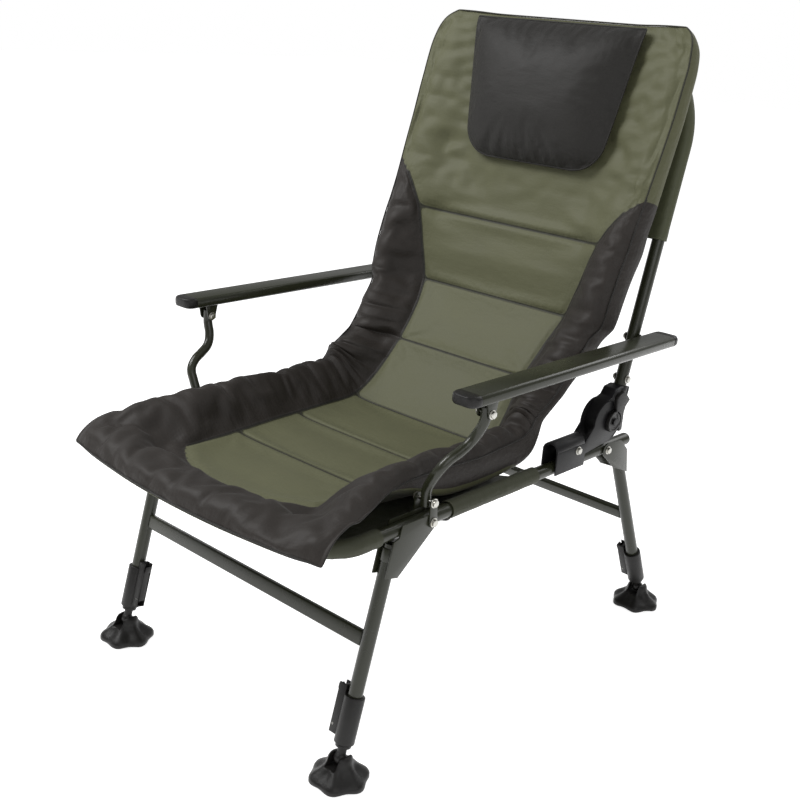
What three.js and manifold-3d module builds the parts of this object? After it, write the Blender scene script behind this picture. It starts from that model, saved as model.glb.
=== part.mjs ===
// Carp fishing chair: a padded reclining chair on four adjustable legs with mud feet.
// Millimetres and degrees. +Z is up, the sitter faces -Y, and +X is the sitter's left.
// Heights are above the floor, and Y is measured from a plane near the middle of the seat.
// The finished chair is moved so that its origin lies on the floor under its middle.
import * as THREE from "three";
import { mergeVertices } from "three/addons/utils/BufferGeometryUtils.js";
import Module from "manifold-3d";

const wasm = await Module();
wasm.setup();
const { Manifold, Mesh: SolidMesh } = wasm;
const { degToRad, lerp, smoothstep } = THREE.MathUtils;

// Clearances
const SEAT_GAP = 0.3; // between pieces that touch
const BORE_GAP = 0.3; // round a bolt or a tube in its hole, on the radius
const OPEN_PIVOT_GAP = 0.9; // play on the radius where the arm support meets its clevis
const OVERRUN = 60; // how far a cutting shape runs past what it cuts

// Steel tube, plate and bolts
const TUBE_RADIUS = 11;
const TUBE_WALL = 1.5;
const TUBE_SIDES = 12;
const PLATE = 2.4;
const BOLT_RADIUS = 3;
const BOLT_HEAD_RADIUS = 6;
const BOLT_HEAD_HEIGHT = 4;
const BOLT_SIDES = 6;

// Seat frame: two rails and a hoop across the front
const RAIL_SPACING = 530;
const RAIL_HEIGHT = 377;
const RAIL_FRONT_Y = -284;
const RAIL_REAR_Y = 392;
const HOOP_STUB = 6; // straight end of a hoop before its bend
const SEAT_HOOP_RADIUS = 60;
const HOOP_STEPS = 4;

// Legs: the pivot's place on the rail, the lean from upright, the tube's offset from the pivot
const FRONT_LEGS = { pivotY: -155, lean: -13.9, offset: -62, tubeDrop: 19, barRise: 182 };
const REAR_LEGS = { pivotY: 310, lean: 25.6, offset: 39, tubeDrop: 22, barRise: 197 };
const EAR_RADIUS = 13; // round end of a leg plate at its pivot
const FRONT_PLATE_REACH = 93; // from the pivot to the plate's far end
const REAR_PLATE_REACH = 77;
const WELD_LENGTH = 20; // sleeve that joins a leg tube to its plates
const STOP_LENGTH = 26; // web under the rail that stops the open leg
const STOP_THICKNESS = 2.5;
const CROSSBAR_HEIGHT = 23;
const CROSSBAR_DEPTH = 12;

// Leg adjusters, measured from the centre of the ball joint up the leg
const BALL_HEIGHT = 37;
const BALL_RADIUS = 10;
const NECK_RADIUS = 7;
const FLANGE_RADIUS = 12;
const FLANGE_HEIGHT = 5.5;
const INNER_LEG_RADIUS = 9;
const INNER_LEG_WALL = 1.5;
const INNER_LEG_TOP = 190;
const INNER_LEG_SIDES = 10;
const COLLAR_START = 24;
const COLLAR_LENGTH = 74;
const COLLAR_RADIUS = 15.5;
const COLLAR_LIP = 4;
const COLLAR_CHAMFER = 3;
const COLLAR_SIDES = 16;
const LEVER_BOX_WIDTH = 17;
const LEVER_BOX_WALL = 2.4;
const LEVER_BOX_REACH = 27; // from the leg's axis towards the middle of the chair
const LEVER_BOX_FOOT = 8; // above the collar's lower rim
const LEVER_BOX_RISE = 12; // above the collar's upper rim
const LEVER_PIN_RISE = 21;
const LEVER_PIN_RADIUS = 2;
const LEVER_EYE_RADIUS = 4.6;
const LEVER_THICKNESS = 5;
const LEVER_FLARE = 7;

// Mud feet
const FOOT_RADIUS = 46;
const FOOT_LOBES = 6;
const FOOT_SIDES = 24;
const FOOT_PIN_RADIUS = 2.5;
const SOCKET_RADIUS = 16;
const SOCKET_RISE = 7; // above the ball's centre
const BALL_GAP = 0.5;

// Recline hinge, and the backrest tube measured from the hinge along the backrest
const HINGE_Y = 305;
const HINGE_RISE = 56; // of the pivot above the rail
const BACK_LEAN = 13.9;
const BACK_OFFSET = 25.4; // from the pivot to the tube's axis
const BACK_TUBE_START = 40;
const BACK_TUBE_TOP = 645;
const BACK_HOOP_RADIUS = 170;
const BACK_BOLT_AT = 74;
const SOCKET_DISC_RADIUS = 40;
const SOCKET_COLLAR_TOP = 62;
const SOCKET_COLLAR_HEIGHT = 15;
const SOCKET_WALL = 3;
const RIVET_RADIUS = 4;
const RIVET_HEAD_RADIUS = 7;
const RIVET_HEAD_HEIGHT = 2;
const BRACKET_INNER = 12.5; // from the rail's plane to the inside of a bracket plate
const BRACKET_PLATE = 3;
const BRACKET_HEAD_RADIUS = 38;
const BRACKET_HEAD_AHEAD = 12;
const SADDLE_FRONT_AHEAD = 153;
const SADDLE_REAR_AHEAD = 70;
const SADDLE_TOP = 47;
const SADDLE_DROP = 8;
const SADDLE_STEP = 12;
const BRACKET_BOLT_AHEAD = 92;
const BRACKET_BOLT_RISE = 23;
const RECLINE_LEVER_LENGTH = 62;
const RECLINE_LEVER_THICKNESS = 7.5;
const RECLINE_HUB_RADIUS = 19;

// Armrests and their supports
const ARM_PIVOT_AT = 146; // along the backrest from the hinge
const ARM_OFFSET = 48.5; // from the rail's plane out to the armrest's middle
const ARM_TAIL = 37.3; // behind the rear pivot
const ARM_LENGTH = 560;
const ARM_WIDTH = 47;
const ARM_THICKNESS = 18;
const ARM_WALL = 1.5;
const ARM_EDGE_STEPS = 5;
const ARM_RISE = 5; // the armrest's middle above its rear pivot
const CAP_LENGTH = 20;
const CAP_PLUG_LENGTH = 10;
const CAP_ROUND = 16.5;
const ARM_HINGE_LENGTH = 44;
const SUPPORT_FOOT_Y = -157;
const SUPPORT_FOOT_RISE = 31; // above the rail
const SUPPORT_RADIUS = 8;
const SUPPORT_WALL = 1.5;
const SUPPORT_SIDES = 8;
const SUPPORT_STEPS = 12;
const SUPPORT_END = 9; // tube past each pivot
const LINK_WIDTH = 15;
const CLEVIS_LENGTH = 26;
const CLEVIS_GAP = 9;

// Padded mat, sling, pocket and pillow
const PAD_OVERHANG = 21; // of the widest part of the pad past the rail's plane
const PAD_THICKNESS = 40;
const PAD_RISE = 60; // how far the padded sides stand above the middle
const SEAM_DIP = 4;
const SEAT_PAD_OVERHANG = 33.7; // in front of the front tube
const SEAT_PAD_LENGTH = 480;
const SEAT_ROLL_LENGTH = 84; // the part of the pad that lies over the front tube
const SEAT_PAD_BULGE = 28; // of the front edge's middle
const BACK_PAD_FOOT = 34;
const BACK_PAD_LENGTH = 626;
const BACK_PAD_FACE = 41; // in front of the hinge's line
const WAIST_HANDLE = 60; // how far the seat's and back's directions carry into the bend
const PAD_SPLIT_GAP = 0.4;
const SLING_THICKNESS = 1.6;
const SLING_EDGE_DROP = 5;
const SLING_SAG = 24;
const SLING_REAR_AHEAD = 195; // of the hinge
const FRONT_SLEEVE_LENGTH = 27; // along the rail
const REAR_SLEEVE_BEHIND = 50; // the front leg pivot
const SLING_NOTCH = 25; // from the rail's plane in to the cloth, beside the leg pivots
const POCKET_THICKNESS = 2;
const POCKET_LENGTH = 328;
const POCKET_DEPTH = 28;
const PILLOW_FOOT = 400;
const PILLOW_LENGTH = 249;
const PILLOW_WIDTH = 360;
const PILLOW_FOOT_WIDTH = 276;
const PILLOW_THICKNESS = 34;
const PILLOW_GAP = 1.2;

// Finishes
const OLIVE_PAINT = { color: 0x494840, metalness: 0.35, roughness: 0.35 };
const BLACK_STEEL = { color: 0x2a2a2d, metalness: 0.2, roughness: 0.5 };
const BLACK_PLASTIC = { color: 0x2b2826, metalness: 0, roughness: 0.45 };
const ZINC = { color: 0xc4c6c8, metalness: 1, roughness: 0.3 };
const OLIVE_FABRIC = { color: 0x5f6150, metalness: 0, roughness: 0.8 };
const BLACK_FABRIC = { color: 0x37332f, metalness: 0, roughness: 0.8 };

const SIDES = [
  { side: "left", sign: 1 },
  { side: "right", sign: -1 },
];

// Solids

const at = (x, y) => new THREE.Vector2(x, y);

// The radius of a many-sided hole that a round piece turns in.
const boreFor = (radius, sides, gap = BORE_GAP) => (radius + gap) / Math.cos(Math.PI / sides);

function signedVolume(geometry) {
  const position = geometry.getAttribute("position");
  const corners = geometry.getIndex().array;
  const [a, b, c] = [new THREE.Vector3(), new THREE.Vector3(), new THREE.Vector3()];
  let volume = 0;
  for (let i = 0; i < corners.length; i += 3) {
    a.fromBufferAttribute(position, corners[i]);
    b.fromBufferAttribute(position, corners[i + 1]);
    c.fromBufferAttribute(position, corners[i + 2]);
    volume += a.dot(b.cross(c)) / 6;
  }
  return volume;
}

// A copy with shared corners, no collapsed triangles, and every face pointing out.
function sealed(geometry) {
  const bare = geometry.clone();
  bare.deleteAttribute("normal");
  bare.deleteAttribute("uv");
  const merged = mergeVertices(bare);
  const all = [...merged.getIndex().array];
  const kept = [];
  for (let i = 0; i < all.length; i += 3) {
    const [a, b, c] = all.slice(i, i + 3);
    if (a !== b && b !== c && c !== a) {
      kept.push(a, b, c);
    }
  }
  merged.setIndex(kept);
  if (signedVolume(merged) < 0) {
    merged.setIndex(kept.reverse());
  }
  return merged;
}

function solid(geometry) {
  const merged = sealed(geometry);
  return new Manifold(
    new SolidMesh({
      numProp: 3,
      vertProperties: new Float32Array(merged.getAttribute("position").array),
      triVerts: new Uint32Array(merged.getIndex().array),
    }),
  );
}

function geometryOf(body) {
  const { vertProperties, triVerts } = body.getMesh();
  const geometry = new THREE.BufferGeometry();
  geometry.setAttribute("position", new THREE.BufferAttribute(vertProperties, 3));
  geometry.setIndex(new THREE.BufferAttribute(triVerts, 1));
  return geometry;
}

function join(...geometries) {
  return geometryOf(geometries.map(solid).reduce((all, next) => all.add(next)));
}

function cut(geometry, ...tools) {
  return geometryOf(tools.map(solid).reduce((rest, tool) => rest.subtract(tool), solid(geometry)));
}

function common(geometry, tool) {
  return geometryOf(solid(geometry).intersect(solid(tool)));
}

function forSide(geometry, sign) {
  const copy = geometry.clone();
  copy.applyMatrix4(new THREE.Matrix4().makeScale(sign, 1, 1));
  return copy;
}

function piece(name, geometry, finish) {
  const shown = sealed(geometry);
  shown.computeVertexNormals();
  const mesh = new THREE.Mesh(shown, new THREE.MeshStandardMaterial(finish));
  mesh.name = name;
  return mesh;
}

// Shapes

function arc(centre, radius, fromDegrees, toDegrees, steps) {
  return Array.from({ length: steps + 1 }, (_, i) => {
    const angle = degToRad(lerp(fromDegrees, toDegrees, i / steps));
    return at(centre.x + radius * Math.cos(angle), centre.y + radius * Math.sin(angle));
  });
}

function circle(radius, sides) {
  return arc(at(0, 0), radius, 0, 360, sides).slice(0, sides);
}

// An outline in Y and Z, made solid along X.
function slabX(outline, fromX, toX) {
  const geometry = new THREE.ExtrudeGeometry(new THREE.Shape(outline), {
    depth: toX - fromX,
    bevelEnabled: false,
  });
  const axes = new THREE.Matrix4().makeBasis(
    new THREE.Vector3(0, 1, 0),
    new THREE.Vector3(0, 0, 1),
    new THREE.Vector3(1, 0, 0),
  );
  return geometry.applyMatrix4(axes).translate(fromX, 0, 0);
}

// A shape in X and Z, made solid along Y.
function slabY(shape, fromY, toY) {
  const geometry = new THREE.ExtrudeGeometry(shape, { depth: toY - fromY, bevelEnabled: false });
  return geometry.rotateX(degToRad(90)).translate(0, toY, 0);
}

function block(fromX, toX, fromY, toY, fromZ, toZ) {
  return new THREE.BoxGeometry(toX - fromX, toY - fromY, toZ - fromZ).translate(
    (fromX + toX) / 2,
    (fromY + toY) / 2,
    (fromZ + toZ) / 2,
  );
}

// A round rod along one axis, centred on the other two.
function rod(axis, radius, from, to, sides = BOLT_SIDES) {
  const geometry = new THREE.CylinderGeometry(radius, radius, to - from, sides);
  geometry.translate(0, (from + to) / 2, 0);
  if (axis === "x") {
    geometry.rotateZ(degToRad(-90));
  }
  if (axis === "z") {
    geometry.rotateX(degToRad(90));
  }
  return geometry;
}

// Solids of revolution about X and Z, from points of (radius, place on the axis).
const turnedX = (profile, sides) =>
  new THREE.LatheGeometry(profile, sides).rotateZ(degToRad(-90));
const turnedZ = (profile, sides) => new THREE.LatheGeometry(profile, sides).rotateX(degToRad(90));

// A path that puts one ring at each of its points.
class StationPath extends THREE.Curve {
  constructor(stations) {
    super();
    this.stations = stations;
  }

  getUtoTmapping(u) {
    return u;
  }

  getPoint(t, target = new THREE.Vector3()) {
    const last = this.stations.length - 1;
    const i = Math.min(Math.floor(t * last), last - 1);
    return target.lerpVectors(this.stations[i], this.stations[i + 1], t * last - i);
  }

  getTangent(t, target = new THREE.Vector3()) {
    const last = this.stations.length - 1;
    const i = Math.round(t * last);
    const here = this.stations[i];
    const arriving = here.clone().sub(this.stations[Math.max(i - 1, 0)]).normalize();
    const leaving = this.stations[Math.min(i + 1, last)].clone().sub(here).normalize();
    return target.copy(arriving).add(leaving).normalize();
  }
}

function alongPath(shape, stations) {
  return new THREE.ExtrudeGeometry(shape, {
    steps: stations.length - 1,
    extrudePath: new StationPath(stations),
  });
}

function ringShape(radius, wall, sides) {
  const shape = new THREE.Shape(circle(radius, sides));
  shape.holes.push(new THREE.Path(circle(radius - wall, sides)));
  return shape;
}

function straightTube(radius, wall, from, to, sides) {
  return new THREE.ExtrudeGeometry(ringShape(radius, wall, sides), {
    depth: to - from,
    bevelEnabled: false,
  }).translate(0, 0, from);
}

// Half of a hoop's axis and its mirror image, as points of (x, rise), with straight ends.
function hoopAxis(halfSpan, bend, stub) {
  const turn = arc(at(halfSpan - bend, stub), bend, 0, 90, HOOP_STEPS);
  const half = [at(halfSpan, 0), ...turn];
  return [...half, ...half.map((p) => at(-p.x, p.y)).reverse()];
}

function bolt(x, y, z, halfGrip) {
  const profile = [
    at(0, -halfGrip - BOLT_HEAD_HEIGHT),
    at(BOLT_HEAD_RADIUS, -halfGrip - BOLT_HEAD_HEIGHT),
    at(BOLT_HEAD_RADIUS, -halfGrip),
    at(BOLT_RADIUS, -halfGrip),
    at(BOLT_RADIUS, halfGrip),
    at(BOLT_HEAD_RADIUS, halfGrip),
    at(BOLT_HEAD_RADIUS, halfGrip + BOLT_HEAD_HEIGHT),
    at(0, halfGrip + BOLT_HEAD_HEIGHT),
  ];
  return turnedX(profile, BOLT_SIDES).translate(x, y, z);
}

function boltHole(x, y, z, radius = BOLT_RADIUS, gap = BORE_GAP) {
  return rod("x", boreFor(radius, BOLT_SIDES, gap), -OVERRUN, OVERRUN).translate(x, y, z);
}

// A closed skin over a row of sections with as many points on the face as on the back.
function skin(sections) {
  const positions = [];
  const index = [];
  const across = sections[0].face.length;
  const ring = 2 * across;
  for (const { face, back } of sections) {
    for (const p of [...face, ...[...back].reverse()]) {
      positions.push(p.x, p.y, p.z);
    }
  }
  for (let i = 0; i + 1 < sections.length; i += 1) {
    for (let j = 0; j < ring; j += 1) {
      const a = i * ring + j;
      const b = i * ring + ((j + 1) % ring);
      index.push(a, a + ring, b, b, a + ring, b + ring);
    }
  }
  const last = (sections.length - 1) * ring;
  for (let j = 0; j + 1 < across; j += 1) {
    const k = ring - 1 - j;
    index.push(j, j + 1, k, j + 1, k - 1, k);
    index.push(last + j, last + k, last + j + 1, last + j + 1, last + k, last + k - 1);
  }
  const geometry = new THREE.BufferGeometry();
  geometry.setAttribute("position", new THREE.Float32BufferAttribute(positions, 3));
  geometry.setIndex(index);
  return geometry;
}

// Places that follow from the sizes

const RAIL_X = RAIL_SPACING / 2;
const ARM_CENTRE_X = RAIL_X + ARM_OFFSET;
const PAD_HALF_WIDTH = RAIL_X + PAD_OVERHANG;
const LEG_PLATE_INNER = TUBE_RADIUS + 2 * SEAT_GAP;
const LEG_PLATE_OUTER = LEG_PLATE_INNER + PLATE;
const LINK_INNER = LEG_PLATE_OUTER + SEAT_GAP;
const LINK_OUTER = LINK_INNER + PLATE;
const BRACKET_OUTER = BRACKET_INNER + BRACKET_PLATE;
const SLEEVE_BORE = boreFor(TUBE_RADIUS, TUBE_SIDES);
const SLEEVE_RADIUS = SLEEVE_BORE + SLING_THICKNESS;
const LEVER_PIN_X = LEVER_EYE_RADIUS - LEVER_BOX_REACH - 2 * SEAT_GAP;
const FRONT_AXIS_Y = RAIL_FRONT_Y - SEAT_GAP - HOOP_STUB - SEAT_HOOP_RADIUS;
const HINGE_HEIGHT = RAIL_HEIGHT + HINGE_RISE;
const SUPPORT_FOOT_HEIGHT = RAIL_HEIGHT + SUPPORT_FOOT_RISE;
const SEAT_PAD_FRONT_Y = FRONT_AXIS_Y - SEAT_PAD_OVERHANG;
const SLING_REAR_Y = HINGE_Y - SLING_REAR_AHEAD;
const FRONT_SLEEVE_END_Y = RAIL_FRONT_Y + FRONT_SLEEVE_LENGTH;
const REAR_SLEEVE_START_Y = FRONT_LEGS.pivotY + REAR_SLEEVE_BEHIND;

// From the backrest's own axes to the chair's.
function backToChair(y, z) {
  const lean = degToRad(BACK_LEAN);
  return {
    y: HINGE_Y + y * Math.cos(lean) + z * Math.sin(lean),
    z: HINGE_HEIGHT - y * Math.sin(lean) + z * Math.cos(lean),
  };
}

// From a place in the chair, measured from the leg's pivot, to the leg's own axes.
function intoLeg({ lean }, p) {
  const tilt = degToRad(lean);
  return at(
    p.x * Math.cos(tilt) + p.y * Math.sin(tilt),
    p.y * Math.cos(tilt) - p.x * Math.sin(tilt),
  );
}

// The ball's place on the leg's axis, which sets the foot flat on the floor.
function ballOn({ lean, offset }) {
  const tilt = degToRad(lean);
  return (BALL_HEIGHT - RAIL_HEIGHT - offset * Math.sin(tilt)) / Math.cos(tilt);
}

const ARM_PIVOT = backToChair(BACK_OFFSET, ARM_PIVOT_AT);
const ARM_MID = ARM_PIVOT.z + ARM_RISE;
const ARM_UNDER = ARM_MID - ARM_THICKNESS / 2;
const ARM_FRONT_Y = ARM_PIVOT.y + ARM_TAIL - ARM_LENGTH;
// The arm support is parallel to the line between the backrest's two pivots, and as long.
const SUPPORT_TOP = {
  y: SUPPORT_FOOT_Y + ARM_PIVOT.y - HINGE_Y,
  z: SUPPORT_FOOT_HEIGHT + ARM_PIVOT.z - HINGE_HEIGHT,
};

// Seat frame

function seatRail(side, sign) {
  const bore = TUBE_RADIUS - TUBE_WALL;
  const domeStart = RAIL_REAR_Y - TUBE_RADIUS;
  const profile = [
    ...arc(at(0, domeStart), TUBE_RADIUS, 90, 0, 3),
    at(TUBE_RADIUS, RAIL_FRONT_Y),
    at(bore, RAIL_FRONT_Y),
    at(bore, domeStart),
    at(0, domeStart + bore / 2),
  ];
  const tube = new THREE.LatheGeometry(profile, TUBE_SIDES).translate(RAIL_X, 0, RAIL_HEIGHT);
  const drilled = cut(
    tube,
    boltHole(RAIL_X, FRONT_LEGS.pivotY, RAIL_HEIGHT),
    boltHole(RAIL_X, REAR_LEGS.pivotY, RAIL_HEIGHT),
  );
  return piece(`seat_rail_${side}`, forSide(drilled, sign), OLIVE_PAINT);
}

const frontHoopStations = hoopAxis(RAIL_X, SEAT_HOOP_RADIUS, HOOP_STUB).map(
  (p) => new THREE.Vector3(p.x, RAIL_FRONT_Y - SEAT_GAP - p.y, RAIL_HEIGHT),
);

function seatFrontTube() {
  const tube = alongPath(ringShape(TUBE_RADIUS, TUBE_WALL, TUBE_SIDES), frontHoopStations);
  return piece("seat_front_tube", tube, OLIVE_PAINT);
}

function legPivotBolt(name, pivotY, halfGrip, sign) {
  const shank = bolt(RAIL_X, pivotY, RAIL_HEIGHT, halfGrip + SEAT_GAP);
  return piece(name, forSide(shank, sign), ZINC);
}

// Two link plates beside the rail, with the bolt that the arm support turns on.
function armLink(side, sign) {
  const outline = [
    ...arc(at(SUPPORT_FOOT_Y, SUPPORT_FOOT_HEIGHT), LINK_WIDTH / 2, 0, 180, 4),
    ...arc(at(FRONT_LEGS.pivotY, RAIL_HEIGHT), LINK_WIDTH / 2, 180, 360, 4),
  ];
  const plates = join(
    slabX(outline, RAIL_X + LINK_INNER, RAIL_X + LINK_OUTER),
    slabX(outline, RAIL_X - LINK_OUTER, RAIL_X - LINK_INNER),
    bolt(RAIL_X, SUPPORT_FOOT_Y, SUPPORT_FOOT_HEIGHT, LINK_OUTER),
  );
  const drilled = cut(plates, boltHole(RAIL_X, FRONT_LEGS.pivotY, RAIL_HEIGHT));
  return piece(`arm_link_${side}`, forSide(drilled, sign), OLIVE_PAINT);
}

// A rivet through the bracket, the socket's disc and the lever.
function reclineRivet() {
  const inner = -BRACKET_OUTER;
  const outer = BRACKET_OUTER + RECLINE_LEVER_THICKNESS + 3 * SEAT_GAP;
  const profile = [
    at(0, inner - RIVET_HEAD_HEIGHT),
    at(RIVET_HEAD_RADIUS, inner - RIVET_HEAD_HEIGHT),
    at(RIVET_HEAD_RADIUS, inner),
    at(RIVET_RADIUS, inner),
    at(RIVET_RADIUS, outer),
    at(RIVET_HEAD_RADIUS, outer),
    at(RIVET_RADIUS, outer + RIVET_HEAD_HEIGHT),
    at(0, outer + RIVET_HEAD_HEIGHT),
  ];
  return turnedX(profile, BOLT_SIDES).translate(RAIL_X, HINGE_Y, HINGE_HEIGHT);
}

// The bracket that straddles the rail, its fixing bolt, and the recline pivot's rivet.
function reclineBracket(side, sign) {
  const front = HINGE_Y - SADDLE_FRONT_AHEAD;
  const rear = HINGE_Y - SADDLE_REAR_AHEAD;
  const top = RAIL_HEIGHT + SADDLE_TOP;
  const foot = RAIL_HEIGHT - SADDLE_DROP;
  const head = at(HINGE_Y - BRACKET_HEAD_AHEAD, HINGE_HEIGHT);
  const outline = [
    at(front, foot),
    at(rear, foot),
    at(rear, RAIL_HEIGHT + SADDLE_STEP),
    ...arc(head, BRACKET_HEAD_RADIUS, -75, 180, 9),
    at(rear, top - SADDLE_STEP),
    at(rear - SADDLE_STEP, top),
    at(front, top),
  ];
  const body = slabX(outline, RAIL_X - BRACKET_OUTER, RAIL_X + BRACKET_OUTER);
  const channel = (fromY, toZ) =>
    block(
      RAIL_X - BRACKET_INNER,
      RAIL_X + BRACKET_INNER,
      fromY,
      head.x + BRACKET_HEAD_RADIUS + OVERRUN,
      foot - OVERRUN,
      toZ,
    );
  const plates = cut(
    body,
    channel(front - OVERRUN, top - BRACKET_PLATE),
    channel(rear - SADDLE_STEP, head.y + BRACKET_HEAD_RADIUS + OVERRUN),
  );
  const fixing = bolt(
    RAIL_X,
    HINGE_Y - BRACKET_BOLT_AHEAD,
    RAIL_HEIGHT + BRACKET_BOLT_RISE,
    BRACKET_OUTER,
  );
  const joined = join(plates, fixing, reclineRivet());
  return piece(`recline_bracket_${side}`, forSide(joined, sign), BLACK_STEEL);
}

// Cloth that hangs between the rails, sewn into sleeves round them.
function seatSling() {
  const acrossShares = [0, 0.3, 0.6, 0.75, 0.88, 1];
  const hangShares = [1, 1, 0.97, 0.8, 0.45, 0];
  const signed = [
    ...acrossShares.map((across, i) => [-across, hangShares[i]]).reverse(),
    ...acrossShares.map((across, i) => [across, hangShares[i]]).slice(1),
  ];
  const underSleeve = SLEEVE_RADIUS - SLING_THICKNESS / 2;
  const level = RAIL_HEIGHT - SLING_EDGE_DROP;
  const rows = [
    { y: FRONT_AXIS_Y, edge: RAIL_HEIGHT - underSleeve, half: RAIL_X - SEAT_HOOP_RADIUS, hangShare: 0 },
    { y: FRONT_AXIS_Y + SEAT_HOOP_RADIUS / 2, edge: level, half: RAIL_X - TUBE_RADIUS, hangShare: 0.7 },
    { y: RAIL_FRONT_Y, edge: level, half: RAIL_X, hangShare: 1 },
    { y: SLING_REAR_Y, edge: level, half: RAIL_X, hangShare: 1 },
  ];
  const sections = rows.map(({ y, edge, half, hangShare }) => {
    const line = (under) =>
      signed.map(
        ([across, hang]) =>
          new THREE.Vector3(across * half, y, edge - under - SLING_SAG * hang * hangShare),
      );
    return { face: line(0), back: line(SLING_THICKNESS) };
  });
  const [first, last] = [frontHoopStations[0], frontHoopStations[frontHoopStations.length - 1]];
  const reach = (end, y) => new THREE.Vector3(end.x, y, end.z);
  const hoopTo = (y) => [reach(first, y), ...frontHoopStations.slice(1, -1), reach(last, y)];
  const round = (radius) => new THREE.Shape(circle(radius, TUBE_SIDES));
  const frontSleeve = alongPath(round(SLEEVE_RADIUS), hoopTo(FRONT_SLEEVE_END_Y));
  const frontBore = alongPath(round(SLEEVE_BORE), hoopTo(FRONT_SLEEVE_END_Y + OVERRUN));
  const onRail = (geometry, sign) => geometry.translate(sign * RAIL_X, 0, RAIL_HEIGHT);
  const sleeves = SIDES.map(({ sign }) =>
    onRail(rod("y", SLEEVE_RADIUS, REAR_SLEEVE_START_Y, SLING_REAR_Y, TUBE_SIDES), sign),
  );
  const bores = SIDES.map(({ sign }) =>
    onRail(rod("y", SLEEVE_BORE, FRONT_SLEEVE_END_Y, RAIL_REAR_Y, TUBE_SIDES), sign),
  );
  const notches = SIDES.map(({ sign }) =>
    forSide(
      block(
        RAIL_X - SLING_NOTCH,
        RAIL_X + OVERRUN,
        FRONT_SLEEVE_END_Y,
        REAR_SLEEVE_START_Y,
        RAIL_HEIGHT - OVERRUN,
        RAIL_HEIGHT + OVERRUN,
      ),
      sign,
    ),
  );
  const sheet = cut(skin(sections), ...notches);
  const cloth = cut(join(sheet, frontSleeve, ...sleeves), frontBore, ...bores);
  return piece("seat_sling", cloth, OLIVE_FABRIC);
}

// Backrest frame, in the backrest's own axes

function backTube(side, sign) {
  const end = BACK_TUBE_TOP - BACK_HOOP_RADIUS - HOOP_STUB;
  const tube = straightTube(TUBE_RADIUS, TUBE_WALL, BACK_TUBE_START, end, TUBE_SIDES);
  tube.translate(RAIL_X, BACK_OFFSET, 0);
  const bolted = join(tube, bolt(RAIL_X, BACK_OFFSET, BACK_BOLT_AT, TUBE_RADIUS - SEAT_GAP));
  const drilled = cut(bolted, boltHole(RAIL_X, BACK_OFFSET, ARM_PIVOT_AT));
  return piece(`back_tube_${side}`, forSide(drilled, sign), OLIVE_PAINT);
}

function backTopTube() {
  const start = BACK_TUBE_TOP - BACK_HOOP_RADIUS - HOOP_STUB + SEAT_GAP;
  const stations = hoopAxis(RAIL_X, BACK_HOOP_RADIUS, HOOP_STUB).map(
    (p) => new THREE.Vector3(p.x, BACK_OFFSET, start + p.y),
  );
  const tube = alongPath(ringShape(TUBE_RADIUS, TUBE_WALL, TUBE_SIDES), stations);
  return piece("back_top_tube", tube, OLIVE_PAINT);
}

// The socket round the back tube's foot, with the disc that turns inside the bracket.
function hingeSocket(side, sign) {
  const half = BRACKET_INNER - SEAT_GAP;
  const collar = TUBE_RADIUS + SOCKET_WALL;
  const collarFoot = SOCKET_COLLAR_TOP - SOCKET_COLLAR_HEIGHT;
  const shoulderShares = [
    [-0.16, 1.38],
    [-0.31, 1.03],
    [-0.71, 0.8],
  ];
  const outline = [
    ...arc(at(0, 0), SOCKET_DISC_RADIUS, 158, 385, 9),
    at(BACK_OFFSET + collar, collarFoot),
    at(BACK_OFFSET + collar, SOCKET_COLLAR_TOP),
    at(BACK_OFFSET - collar, SOCKET_COLLAR_TOP),
    ...shoulderShares.map(([y, z]) => at(y * SOCKET_DISC_RADIUS, z * SOCKET_DISC_RADIUS)),
  ];
  const round = rod("z", collar, collarFoot, SOCKET_COLLAR_TOP, TUBE_SIDES);
  const bore = rod("z", SLEEVE_BORE, BACK_TUBE_START - SEAT_GAP, SOCKET_COLLAR_TOP + OVERRUN, TUBE_SIDES);
  const socket = cut(
    join(slabX(outline, RAIL_X - half, RAIL_X + half), round.translate(RAIL_X, BACK_OFFSET, 0)),
    bore.translate(RAIL_X, BACK_OFFSET, 0),
    boltHole(RAIL_X, 0, 0, RIVET_RADIUS),
  );
  return piece(`hinge_socket_${side}`, forSide(socket, sign), BLACK_STEEL);
}

// The release lever on the outer face of the hinge, with its thumb head.
function reclineLever(side, sign) {
  const headShares = [
    [0.29, -0.35],
    [0.42, -0.31],
    [0.42, 0.18],
    [0.47, 0.36],
    [0.66, 0.53],
    [0.47, 0.71],
    [0.31, 0.84],
    [0.08, 0.77],
    [0, 0.68],
    [0.02, 0.34],
  ];
  const outline = headShares.map(([y, z]) => at(y * RECLINE_LEVER_LENGTH, z * RECLINE_LEVER_LENGTH));
  const inner = RAIL_X + BRACKET_OUTER + 2 * SEAT_GAP;
  const outer = inner + RECLINE_LEVER_THICKNESS;
  const hub = rod("x", RECLINE_HUB_RADIUS, inner, outer, TUBE_SIDES);
  const plate = cut(join(slabX(outline, inner, outer), hub), boltHole(inner, 0, 0, RIVET_RADIUS));
  const mesh = piece(`recline_lever_${side}`, forSide(plate, sign), BLACK_PLASTIC);
  mesh.position.set(0, HINGE_Y, HINGE_HEIGHT);
  return mesh;
}

// Armrests

function ovalPoints(width, thickness) {
  const radius = thickness / 2;
  const flat = width / 2 - radius;
  return [
    ...arc(at(flat, 0), radius, -90, 90, ARM_EDGE_STEPS),
    ...arc(at(-flat, 0), radius, 90, 270, ARM_EDGE_STEPS),
  ];
}

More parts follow.
